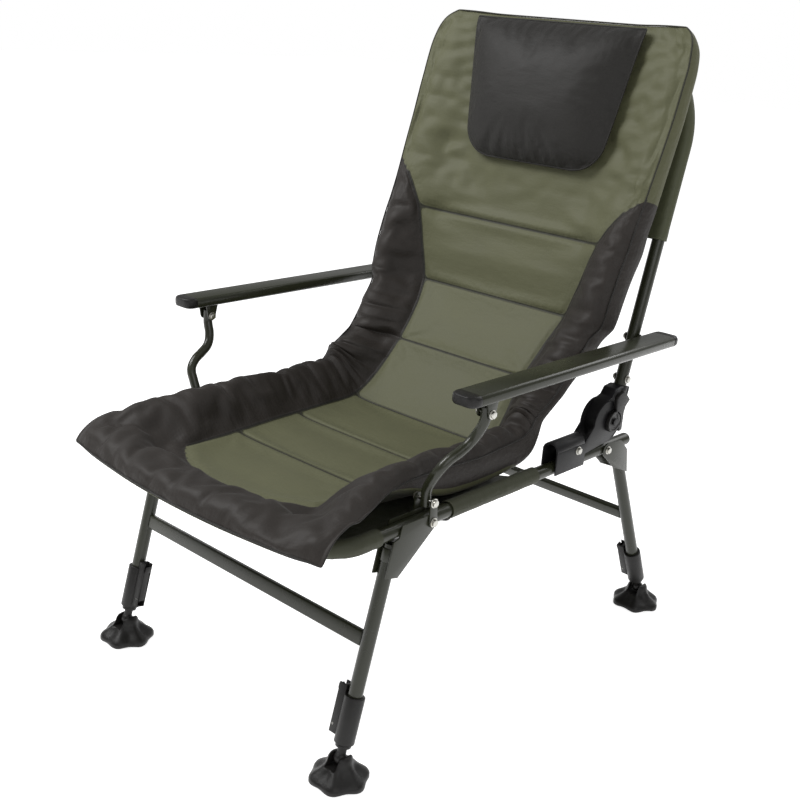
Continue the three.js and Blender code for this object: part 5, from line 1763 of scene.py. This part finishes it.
@dataclass
class Coverings(Assembly):
    """The headrest pillow, the cover over the back tube and the sling under the seat."""

    mat: PaddedMat

    def build(self) -> None:
        """Models every other piece of cloth."""
        self._pillow()
        self._cover()
        self._sling()

    def _pillow(self) -> None:
        """The filled pillow on the mat's face, rounded at its narrow foot and piped round its rim."""
        foot, length, round_by = 0.4, 0.249, 0.05
        columns = np.sin(np.linspace(-1.3, 1.3, 56)) / math.sin(1.3)
        t, c = np.meshgrid(np.linspace(0, 1, 42) ** 1.2, columns, indexing="ij")
        z = foot + t * length
        cut = round_by - np.sqrt(round_by**2 - np.maximum(round_by - t * length, 0) ** 2)
        half = 0.143 + 0.037 * t - cut
        x = c * half + 0.012 * (1 - t)
        height, out, wide, _, rise = np.array(self.mat.back_rows).T
        share = np.abs(x) / np.interp(z, height, wide)
        lift = np.interp(share, self.mat.lift_at, self.mat.lift_share)
        back = -(np.interp(z, height, out) + np.interp(z, height, rise) * lift + 0.0025)
        ends, sides = np.minimum(t, 1 - t) * length, (1 - np.abs(c)) * half
        edge = np.minimum(ends, sides)
        body = 0.037 * (1 - np.exp(-ends / 0.023)) * (1 - np.exp(-sides / 0.027))
        pull = gathers(41, np.arctan2(x, z - foot - length / 2) / 6, edge, (9, 21), 3)
        body = body + 0.0036 * pull * np.exp(-edge / 0.045) * np.clip(edge / 0.008, 0, 1)
        face, under = (np.stack([x, depth, z], axis=-1) for depth in (back - 0.003 - body, back))
        side, none = np.ones((len(t), 1)), 0 * edge
        numbers = {
            "pucker": [np.exp(-edge / 0.03), side, none, side],
            "held": [edge < 0.004, side, 1 + none, side],
            "slack": [1 + none, side, none, side],
        }
        piece = stuffed("head_pillow", (face, under), 0.0015 * side, (x, 2 * half, 0.01, z[:, :1]), numbers)
        Filling(pressure=3, growth=0.015, reach=0.01).fill(piece)
        bench = Bench(piece).join(rope(rim_of(face * 0.6 + under * 0.4), 0.0019)).smooth().moved(BACK_AXES)
        made = self.hand_over(bench, self.finishes.pillow, "backrest", ["headrest_pillow"], 180)

    def _cover(self) -> None:
        """The bag of cloth drawn over the top of the back tube, with slack folds and a hem."""
        half, bend, foot, top, depth = RAIL_X + 0.0136, 0.1836, 0.317, 0.6586, 0.0132
        rise = np.sin(np.linspace(0, math.pi / 2, 48)) ** 1.2
        z = (foot + (top - foot) * rise)[:, None]
        above = np.maximum(z - top + bend, 0)
        wide = half - bend + np.sqrt(np.maximum(bend**2 - above**2, 0))
        x = np.sin(np.linspace(-math.pi / 2, math.pi / 2, 61))[None, :] * wide
        inside = bend - np.hypot(np.maximum(np.abs(x) - half + bend, 0), above)
        round_it = depth * np.sqrt(np.maximum(1 - np.maximum(1 - inside / depth, 0) ** 2, 0))
        hem = 0.0008 * np.clip((foot + 0.02 - z) / 0.002, 0, 1)
        open_part = 1 - np.exp(-((np.maximum(inside, 0) / 0.05) ** 2))
        sides = []
        for sign, seed in ((-1, 61), (1, 67)):
            folds = gathers(seed, x + 0.35 * np.abs(x) * rise[:, None], z, (4, 11), 3)
            slack = 0.0035 * open_part - 0.0022 * open_part * folds * (1 - 0.4 * rise[:, None])
            y = BACK_OFFSET + sign * (round_it + hem - slack)
            sides.append(np.stack([x, y, z + 0 * x], axis=-1))
        front, rear = sides
        points = np.concatenate([front, rear[:, -2:0:-1]], axis=1)
        turned = np.concatenate([x, 2 * wide - x[:, -2:0:-1]], axis=1)
        flat = np.stack([turned, z + 0 * turned], axis=-1)
        numbers = {"pucker": np.full(turned.shape, 0.35)}
        cloth = sheet_mesh("back_cover", points, lattice(*turned.shape, closed=True), flat, numbers)
        bench = Bench(cloth).outward().thicken(0.0014).moved(BACK_AXES)
        made = self.hand_over(bench, self.finishes.cover, "backrest", ["back_pocket"], 180)
        high, edge = top - foot, 2 * (top - foot - bend) + math.pi * bend + 2 * (half - bend)
        panel = 2 * half * high - (2 - math.pi / 2) * bend**2

    def _sling(self) -> None:
        """The cloth between the rails, with sleeves round the rails and the front of the tube."""
        front, rear, bend = -0.3503, 0.11, 0.06
        t, s = np.meshgrid(np.linspace(front, rear, 44), np.linspace(-1, 1, 60), indexing="ij")
        hang = np.interp(np.abs(s), [0, 0.3, 0.6, 0.75, 0.88, 1], [1, 1, 0.97, 0.8, 0.45, 0])
        grow = np.clip((t - front) / bend, 0, 1)
        half = np.interp(t, [front, -0.32, -0.284, rear], [0.205, 0.249, 0.256, 0.256])
        z = RAIL_HEIGHT - 0.0052 - 0.024 * hang * grow - 0.006 * (1 - grow)
        z = z + 0.001 * gathers(71, s, t, (2, 6), 5) * (1 - hang)
        points = np.stack([s * half, t + CHAIR_SHIFT, z], axis=-1)
        bench = grid_piece("seat_cloth", points, np.stack([s * half, t], axis=-1), 0.0016)
        lead = [(RAIL_X, y) for y in np.linspace(-0.257, -0.2853, 5)]
        turns = np.linspace(0, -math.pi / 2, 12)
        corner = [(0.205 + bend * math.cos(a), front + bend + bend * math.sin(a)) for a in turns]
        across = [(x, front) for x in np.linspace(0.197, -0.197, 48)]
        hoop = [*lead, *corner, *across, *((-x, y) for x, y in [*lead, *corner][::-1])]
        rails = [[(x, y) for y in np.linspace(-0.105, rear, 28)] for x in (RAIL_X, -RAIL_X)]
        bench.join(*(self._sleeve(path, seed) for seed, path in enumerate((hoop, *rails))))
        made = self.hand_over(bench, self.finishes.sling, "seat_frame", ["seat_sling"], 60)

    def _sleeve(self, path: list[tuple[float, float]], seed: int) -> Bench:
        """A sleeve of cloth round the seat tube.

        Args:
            path: the tube's line, as (x, y) on the drawing.
            seed: picks its wrinkles.

        Returns:
            The bench, in object mode.
        """
        line = np.array([(x, y + CHAIR_SHIFT, RAIL_HEIGHT) for x, y in path])
        turns = np.linspace(0, 2 * math.pi, 33)
        along = np.concatenate([[0], np.cumsum(np.linalg.norm(np.diff(line, axis=0), axis=1))])[:, None]
        radius = 0.0127 + 0.0006 * (1 + gathers(80 + seed, along, turns[None, :] * 0.0128, (18, 45), 30))
        points = around(line, radius, turns, loop=False)
        flat = np.stack([turns[None, :] * 0.0128 + 0 * along, along + 0 * turns[None, :]], axis=-1)
        return grid_piece("sleeve", points, flat, 0.0012)


@dataclass
class Armrests(Assembly):
    """The flat oval armrests, their end caps, hinges, clevises and bent supports."""

    centre_x: float = 0.3135
    width: float = 0.047
    thickness: float = 0.018
    corner: float = 0.0068
    length: float = 0.56
    tail: float = 0.0373
    cap: float = 0.02
    sheet: float = 0.0024
    lug: float = 0.0084
    bends: tuple[Point, ...] = (
        (0, 0, -0.066),
        (0, 0, 0),
        (0.02, 0, 0.12),
        (0.2, 0, 0.26),
        (0.4, 0.04, 0.39),
        (0.52, 0.24, 0.49),
        (0.61, 0.54, 0.56),
        (0.68, 0.8, 0.64),
        (0.82, 0.95, 0.76),
        (0.98, 0.99, 0.9),
        (1, 1, 1),
        (1, 1, 1.066),
    )

    def __post_init__(self) -> None:
        """Works out where the pivots are."""
        self.pivot = BACK_AXES @ Vector((0, BACK_OFFSET, 0.146))
        self.middle_z = self.pivot.z + 0.005
        self.under = self.middle_z - self.thickness / 2 - 0.0003
        self.rear_y = self.pivot.y + self.tail
        self.front_y = self.rear_y - self.length
        self.foot = datum(RAIL_X, LINK_Y, LINK_HEIGHT)
        self.top = self.foot + self.pivot - datum(0, HINGE_Y, HINGE_HEIGHT)
        self.top.x = self.centre_x

    def build(self) -> None:
        """Models both armrests."""
        for side in Side:
            self._bar(side)
            self._caps(side)
            self._clevis(side)
            self._hinge(side)
            self._support(side)

    def _oval(self, name: str, y: float) -> Bench:
        """The armrest's section across Y: flat above and below, with rounded edges.

        Args:
            name: the piece's name.
            y: where the section lies.

        Returns:
            The bench, in edit mode with the section selected.
        """
        bench = Bench.ring(name, 0.01, Vector(), Y, 40)
        mesh = bench.mesh()
        for vertex in mesh.verts:
            angle = math.atan2(vertex.co.z, vertex.co.x)
            place = []
            for turn, size in ((math.cos(angle), self.width), (math.sin(angle), self.thickness)):
                flat = math.copysign(min(1.0, abs(turn) * 40), turn) * (size / 2 - self.corner)
                place.append(self.corner * turn + flat)
            vertex.co = (self.centre_x + place[0], y, self.middle_z + place[1])
        bmesh.update_edit_mesh(bench.piece.data)
        return bench.all()

    def _bar(self, side: Side) -> None:
        """The oval tube.

        Args:
            side: the side wanted.
        """
        bench = self._oval("bar", self.front_y + self.cap).extrude(Y * (self.length - 2 * self.cap))
        bench.outward().thicken(0.0015).soften(0.0004, 2, 60)
        self.pair(bench, side, ("arm_bar", "armrest"), self.finishes.paint, "armrest_")

    def _caps(self, side: Side) -> None:
        """The rounded plastic ends.

        Args:
            side: the side wanted.
        """
        for end, sign in (("front", -1), ("rear", 1)):
            start = self.front_y + self.cap if sign < 0 else self.rear_y - self.cap
            bench = self._oval("cap", start + sign * 0.0002)
            bpy.ops.mesh.edge_face_add()
            bench.extrude(Y * sign * 0.006)
            centre = Vector((self.centre_x, start + sign * 0.0062, self.middle_z))
            angles = [math.radians(angle) for angle in (0, 25, 45, 62, 76, 86)]
            for a, b in zip(angles[:-1], angles[1:]):
                rise = Y * sign * 0.0138 * (math.sin(b) - math.sin(a))
                bench.extrude(rise)
                centre += rise
                wide, thin = ((1 - s + s * math.cos(b)) / (1 - s + s * math.cos(a)) for s in (0.65, 0.28))
                bench.scale((wide, 1, thin), centre)
            bench.outward().soften(0.0012, 3, 30)
            names = (f"arm_cap_{end}", f"armrest_cap_{end}")
            self.pair(bench, side, names, self.finishes.plastic, "armrest_")

    def _clevis(self, side: Side) -> None:
        """Two cheeks under the front, bent from one strip, with their bolt.

        Args:
            side: the side wanted.
        """
        paint = self.finishes.paint
        inner, outer, half = 0.009, 0.009 + self.sheet, 0.013
        x, y, z = self.centre_x, self.top.y, self.top.z
        outline = [*arc(y, z, self.lug, 180, 360, 12), (y + half, self.under), (y - half, self.under)]
        cheek, other = twins(outline, x, (inner, outer), 0.0007, paint)
        low, high = (x - outer, y - half, self.under - self.sheet), (x + outer, y + half, self.under)
        strap = Bench.block("strap", low, high).soften(0.0009).wear(paint)
        whole = cheek.join(other, strap, hex_bolt(self.top, outer, self.finishes.zinc))
        self.pair(whole, side, ("arm_clevis", "armrest_clevis"), paint, "armrest_")

    def _hinge(self, side: Side) -> None:
        """The angle under the rear, with its cheek beside the back tube.

        Args:
            side: the side wanted.
        """
        paint = self.finishes.paint
        cheek_x, half, low = RAIL_X + 0.0116, 0.022, self.under - self.sheet
        y, z = self.pivot.y, self.pivot.z
        foot = ((y - half, self.under), (y - half, low), (y + half, low), (y + half, self.under))
        cheek = plate("cheek", [*arc(y, z, self.lug, 0, 180, 12), *foot], cheek_x, cheek_x + self.sheet)
        cheek.soften(0.0007).wear(paint)
        end = (self.centre_x + 0.011, y + half, self.under)
        flange = Bench.block("flange", (cheek_x, y - half, low), end).soften(0.0009).wear(paint)
        screw = Bench.drum("screw", 0.006, 0.004, Vector((self.centre_x, y - half / 2, low - 0.002)), Z, 24)
        screw.soften(0.0009, 3).wear(self.finishes.zinc)
        whole = cheek.join(flange, screw, hex_bolt(Vector((RAIL_X, y, z)), 0.0113, self.finishes.zinc))
        self.pair(whole, side, ("arm_hinge", "armrest_hinge"), paint, "armrest_")

    def _support(self, side: Side) -> None:
        """The S-bent tube from the link to the clevis.

        Args:
            side: the side wanted.
        """
        span = self.top - self.foot
        Bench.clear()
        bpy.ops.curve.primitive_nurbs_path_add()
        curve = bpy.context.object
        curve.location = (0, 0, 0)
        curve.data.splines.clear()
        knots = curve.data.splines.new("BEZIER").bezier_points
        knots.add(len(self.bends) - 1)
        for knot, bend in zip(knots, self.bends):
            knot.co = self.foot + Vector([whole * share for whole, share in zip(span, bend)])
            knot.handle_left_type = knot.handle_right_type = "AUTO"
        settings = {"dimensions": "3D", "resolution_u": 6, "bevel_depth": 0.008, "bevel_resolution": 5}
        for key, value in {**settings, "use_fill_caps": True}.items():
            setattr(curve.data, key, value)
        bpy.ops.object.convert(target="MESH")
        bench = Bench(bpy.context.object).outward()
        self.pair(bench, side, ("arm_stay", "arm_support"), self.finishes.paint, "arm_support_")


@dataclass(frozen=True)
class LegSet:
    """The sizes that tell the front legs from the rear ones."""

    name: str
    pivot_y: float
    angle: float
    offset: float
    tube_drop: float
    bar_rise: float
    ahead: int
    ear_from: float
    plate: tuple[tuple[float, float], ...]

    @property
    def ball(self) -> float:
        """The ball's place along the leg."""
        tilt = math.radians(self.angle)
        return (BALL_HEIGHT - RAIL_HEIGHT - self.offset * math.sin(tilt)) / math.cos(tilt)

    @property
    def top(self) -> float:
        """The tube's upper end along the leg."""
        tilt = math.radians(self.angle)
        return (-self.tube_drop - self.offset * math.sin(tilt)) / math.cos(tilt)

    def axes(self) -> Matrix:
        """From the leg's own axes to the chair's."""
        return lean(math.radians(self.angle), datum(0, self.pivot_y, RAIL_HEIGHT))

    @property
    def axis(self) -> Vector:
        """The left tube's axis, on the leg's own axes."""
        return Vector((RAIL_X, self.offset, 0))

    def names(self, *plain: str) -> tuple[str, ...]:
        """Names that begin with the leg's."""
        return tuple(f"{self.name}_{word}" for word in plain)

    def own(self, y: float, z: float) -> tuple[float, float]:
        """From a place measured level from the pivot to the leg's own axes."""
        tilt = math.radians(self.angle)
        return (y * math.cos(tilt) + z * math.sin(tilt), z * math.cos(tilt) - y * math.sin(tilt))


FRONT = LegSet(
    "front", FRONT_PIVOT_Y, -13.9, -0.062, 0.019, 0.182, -1, -60,
    ((-0.0642, 0.013), (-0.0688, -0.0056), (-0.08, -0.0084), (-0.093, -0.0623), (-0.067, -0.0688)),
)
REAR = LegSet(
    "rear", REAR_PIVOT_Y, 25.6, 0.039, 0.022, 0.197, 1, 90,
    ((0.027, -0.0393), (0.077, -0.06), (0.067, -0.0139), (0.0424, 0.0092)),
)


@dataclass
class Legs(Assembly):
    """The leg tubes with their plates and crossbars, the adjusters and the mud feet."""

    collar: float = 0.074
    collar_rise: float = 0.024
    pin: tuple[float, float] = (-0.023, 0.021)
    foot_radius: float = 0.046
    foot_height: float = BALL_HEIGHT
    foot_sides: int = 72
    foot_rings: tuple[tuple[float, float, float, float], ...] = (
        # radius, height, lobes, ridges
        (0.95, -1.0, 0.1, 0.0),
        (1.0, -0.95, 0.1, 0.0),
        (1.0, -0.8, 0.1, 0.0),
        (0.95, -0.71, 0.1, 0.01),
        (0.84, -0.62, 0.09, 0.035),
        (0.7, -0.51, 0.06, 0.055),
        (0.57, -0.39, 0.03, 0.055),
        (0.47, -0.25, 0.0, 0.03),
        (0.42, -0.08, 0.0, 0.0),
        (0.4, 0.03, 0.0, 0.0),
        (0.36, 0.12, 0.0, 0.0),
        (0.3, 0.18, 0.0, 0.0),
    )

    def build(self) -> None:
        """Models all four legs."""
        for legs in (FRONT, REAR):
            self._crossbar(legs)
            for side in Side:
                self._tube(legs, side)
                self._collar(legs, side)
                self._lever(legs, side)
                self._inner(legs, side)
                self._foot(legs, side)

    def _tube(self, legs: LegSet, side: Side) -> None:
        """The leg tube and the pressed plates welded to it.

        Args:
            legs: the sizes of the front legs, or of the rear ones.
            side: the side wanted.
        """
        paint = self.finishes.paint
        foot = legs.ball + 0.0283
        bender = TubeBender("leg", 0.011, legs.axis + Z * foot, Z)
        tube = bender.run(legs.top - foot).walled().wear(paint)
        ear = arc(0, 0, 0.013, legs.ear_from, legs.ear_from + 150, 14)
        outline = [legs.own(*place) for place in (*ear, *legs.plate)]
        plates = twins(outline, RAIL_X, (0.0116, 0.014), 0.0008, paint)
        near, far, high, low = legs.ahead * 0.026, legs.ahead * 0.052, -0.0113, -0.0138
        stop = [legs.own(*place) for place in ((near, high), (near, low), (far, low), (far, high))]
        web = plate("web", stop, RAIL_X - 0.0128, RAIL_X + 0.0128).soften(0.0006).wear(paint)
        sleeve = Bench.drum("sleeve", 0.0126, 0.02, legs.axis + Z * (legs.top - 0.016), Z, 28)
        tube.join(*plates, web, sleeve.soften(0.0014, 3).wear(paint)).moved(legs.axes())
        self.pair(tube, side, legs.names("leg_tube", "leg"), paint, f"{legs.name}_legs")

    def _crossbar(self, legs: LegSet) -> None:
        """The flat bar between the legs, with welded ends.

        Args:
            legs: the sizes of the front legs, or of the rear ones.
        """
        middle, end = legs.ball + legs.bar_rise, RAIL_X - 0.0102
        low, high = (-end, legs.offset - 0.006, middle - 0.0115), (end, legs.offset + 0.006, middle + 0.0115)
        bar = Bench.block(f"{legs.name}_tie_bar", low, high).soften(0.0028, 4).moved(legs.axes())
        self.hand_over(bar, self.finishes.paint, f"{legs.name}_legs", [f"{legs.name}_crossbar"])

    def _collar(self, legs: LegSet, side: Side) -> None:
        """The moulded collar with the box of its clamp lever on the inner side.

        Args:
            legs: the sizes of the front legs, or of the rear ones.
            side: the side wanted.
        """
        plastic = self.finishes.plastic
        axis = legs.axis + Z * (legs.ball + self.collar_rise)
        shell = Bench.drum("collar", 0.0155, self.collar, axis + Z * self.collar / 2, Z, 40)
        shell.faces(2, 0.9).inset(0.0035).soften(0.0018, 3).wear(plastic)
        box, slot = (
            Bench.block("box", axis + Vector(low), axis + Vector(high))
            for low, high in (
                ((-0.027, -0.0085, 0.008), (-0.0122, 0.0085, 0.086)),
                ((-0.05, -0.0061, 0.0104), (-0.0179, 0.0061, 0.15)),
            )
        )
        box.carve(slot).soften(0.0008).wear(plastic)
        pin = Bench.drum("pin", 0.002, 0.017, axis + Vector((self.pin[0], 0, self.pin[1])), Y, 16)
        shell.join(box, pin.wear(self.finishes.zinc)).moved(legs.axes())
        self.pair(shell, side, legs.names("clamp", "collar"), plastic, f"{legs.name}_legs")

    def _lever(self, legs: LegSet, side: Side) -> None:
        """The clamp lever in the collar's box.

        Args:
            legs: the sizes of the front legs, or of the rear ones.
            side: the side wanted.
        """
        face, top = -0.0267, self.collar + 0.008
        pin_x, pin_z = self.pin
        shape = [
            *arc(pin_x, pin_z, 0.0046, 180, 360, 11),
            (face + 0.005, pin_z + 0.0092),
            (face + 0.005, top - 0.007),
            (face - 0.0035, top),
            (face - 0.0035, top - 0.007),
            (face, top - 0.014),
        ]
        corner = legs.axis + Vector((0, -0.0058, legs.ball + self.collar_rise))
        bench = Bench.outline("lever", [corner + Vector((x, 0, z)) for x, z in shape], Y * 0.0116)
        bench.soften(0.0008).moved(legs.axes())
        names = legs.names("clamp_lever", "collar_lever")
        self.pair(bench, side, names, self.finishes.plastic, f"{legs.name}_lever_")

    def _inner(self, legs: LegSet, side: Side) -> None:
        """The ball, its neck and flange, and the inner tube.

        Args:
            legs: the sizes of the front legs, or of the rear ones.
            side: the side wanted.
        """
        axis = legs.axis + Z * legs.ball
        radius, height = 0.001, -0.00995
        bench = Bench.ring("inner", radius, axis + Z * height, Z, 28)
        bpy.ops.mesh.edge_face_add()
        profile = [(0.01 * math.cos(a), 0.01 * math.sin(a)) for a in np.linspace(-1.35, 0.79, 12)]
        profile += [(0.007, 0.012), (0.007, 0.0182), (0.012, 0.0182), (0.012, 0.0237)]
        profile += [(0.009, 0.0237), (0.009, 0.19)]
        for new_radius, new_height in profile:
            bench.extrude(Z * (new_height - height))
            share = new_radius / radius
            bench.scale((share, share, 1), axis + Z * new_height)
            radius, height = new_radius, new_height
        bench.outward().soften(0.0006, 2, 50).moved(legs.axes())
        names = legs.names("inner_tube", "inner_leg")
        self.pair(bench, side, names, self.finishes.plastic, f"{legs.name}_inner_")

    def _foot(self, legs: LegSet, side: Side) -> None:
        """The lobed mud foot with the slot for the ball and its cross pin.

        Args:
            legs: the sizes of the front legs, or of the rear ones.
            side: the side wanted.
        """
        sides, tall = self.foot_sides, self.foot_height
        centre = legs.axes() @ (legs.axis + Z * legs.ball)
        bench = Bench.ring("foot", 0.04, centre - Z * tall, Z, sides, "NGON")
        for _ in self.foot_rings[1:]:
            bench.extrude(Z * 0.002)
        points = bench.done().piece.data.vertices
        order = sorted(range(len(points)), key=lambda i: points[i].co.z)
        x, y, z = centre
        for level, (radius, height, lobe, ridge) in enumerate(self.foot_rings):
            for i in order[level * sides : (level + 1) * sides]:
                angle = math.atan2(points[i].co.y - y, points[i].co.x - x)
                wave = math.cos(6 * angle)
                reach = self.foot_radius * (radius * (1 - lobe * (1 - wave) / 2) + ridge * wave)
                rise = (height + max(0.0, -0.9 - height) * (1 - wave) * 0.4) * tall
                points[i].co = (x + reach * math.cos(angle), y + reach * math.sin(angle), z + rise)
        half = 0.0105
        low, high = centre - Vector((half, 0.06, half + 0.0005)), centre + Vector((half, 0.06, 0.06))
        slot = Bench.block("slot", low, high)
        bench.outward().carve(slot).soften(0.0006, 2, 40).wear(self.finishes.plastic)
        pin = Bench.drum("pin", 0.0025, 0.0314, centre, X, 20).wear(self.finishes.zinc)
        names = legs.names("mud_foot", "foot")
        self.pair(bench.join(pin), side, names, self.finishes.plastic, f"{legs.name}_foot_", 40)


@dataclass
class Studio:
    """The floor, the lamps and the camera of the photograph."""

    eye: Point = (1.2528, -1.4299, 1.0871)
    right: Point = (0.7346, 0.6748, 0.0703)
    up: Point = (-0.2667, 0.1919, 0.9445)
    back: Point = (0.6239, -0.7126, 0.3209)
    lens: float = 52.43
    daylight: float = 0.34
    lamps: tuple[tuple[str, Point, float, float], ...] = (
        # name, place, size, power
        ("key", (-1.5, -1.4, 2.8), 1.5, 70.0),
        ("fill", (2.4, -1.2, 1.8), 2.0, 20.0),
        ("rim", (0.6, 2.4, 2.6), 1.8, 30.0),
    )

    def build(self) -> None:
        """Sets up the studio."""
        self._floor()
        self._world()
        self._lamps()
        self._camera()

    def _floor(self) -> None:
        """A wide flat floor."""
        Bench.clear()
        bpy.ops.mesh.primitive_plane_add(size=30, location=(0, 0, 0))
        floor = bpy.context.object
        floor.name = "studio_floor"
        floor.data.materials.append(StudioPaper().build())

    def _world(self) -> None:
        """White all round, which lights the chair less than it shows."""
        graph = Graph("studio", "World")
        bpy.context.scene.world = graph.owner
        light, seen = (
            graph.node("Background", {}, {"Color": (1, 1, 1, 1), "Strength": strength}).outputs[0]
            for strength in (self.daylight, 1.0)
        )
        path = graph.node("LightPath", {}, {}).outputs
        either = Value(graph, path["Is Camera Ray"]).most(Value(graph, path["Is Transmission Ray"]))
        graph.close(graph.node("MixShader", {}, {0: either, 1: light, 2: seen}))

    def _lamps(self) -> None:
        """Large soft lamps above and to both sides."""
        for name, place, size, power in self.lamps:
            Bench.clear()
            bpy.ops.object.light_add(type="AREA", location=place)
            lamp = bpy.context.object
            lamp.name = name
            lamp.data.size = size
            lamp.data.energy = power
            lamp.rotation_euler = (Z * 0.5 - Vector(place)).to_track_quat("-Z", "Y").to_euler()

    def _camera(self) -> None:
        """The camera that the photograph was taken with."""
        Bench.clear()
        bpy.ops.object.camera_add(location=self.eye)
        camera = bpy.context.object
        camera.name = "photo_camera"
        turn = Matrix([Vector(axis).normalized() for axis in (self.right, self.up, self.back)]).transposed()
        camera.rotation_mode = "QUATERNION"
        camera.rotation_quaternion = turn.to_quaternion()
        settings = {"lens": self.lens, "sensor_width": 36, "shift_x": -0.00115, "shift_y": -0.003}
        for key, value in {**settings, "clip_start": 0.05, "clip_end": 60}.items():
            setattr(camera.data, key, value)
        bpy.context.scene.camera = camera


def main() -> None:
    """Builds the chair on its frame, then the studio round it."""
    logging.basicConfig(level=logging.INFO, format="%(name)s: %(message)s")
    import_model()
    Bench.clear()
    bpy.context.scene.view_settings.view_transform = "Standard"
    finishes = Finishes()
    SeatFrame(finishes).build()
    Backrest(finishes).build()
    Armrests(finishes).build()
    Legs(finishes).build()
    mat = PaddedMat(finishes)
    mat.build()
    Coverings(finishes, mat).build()
    Studio().build()


if __name__ == "__main__":
    main()
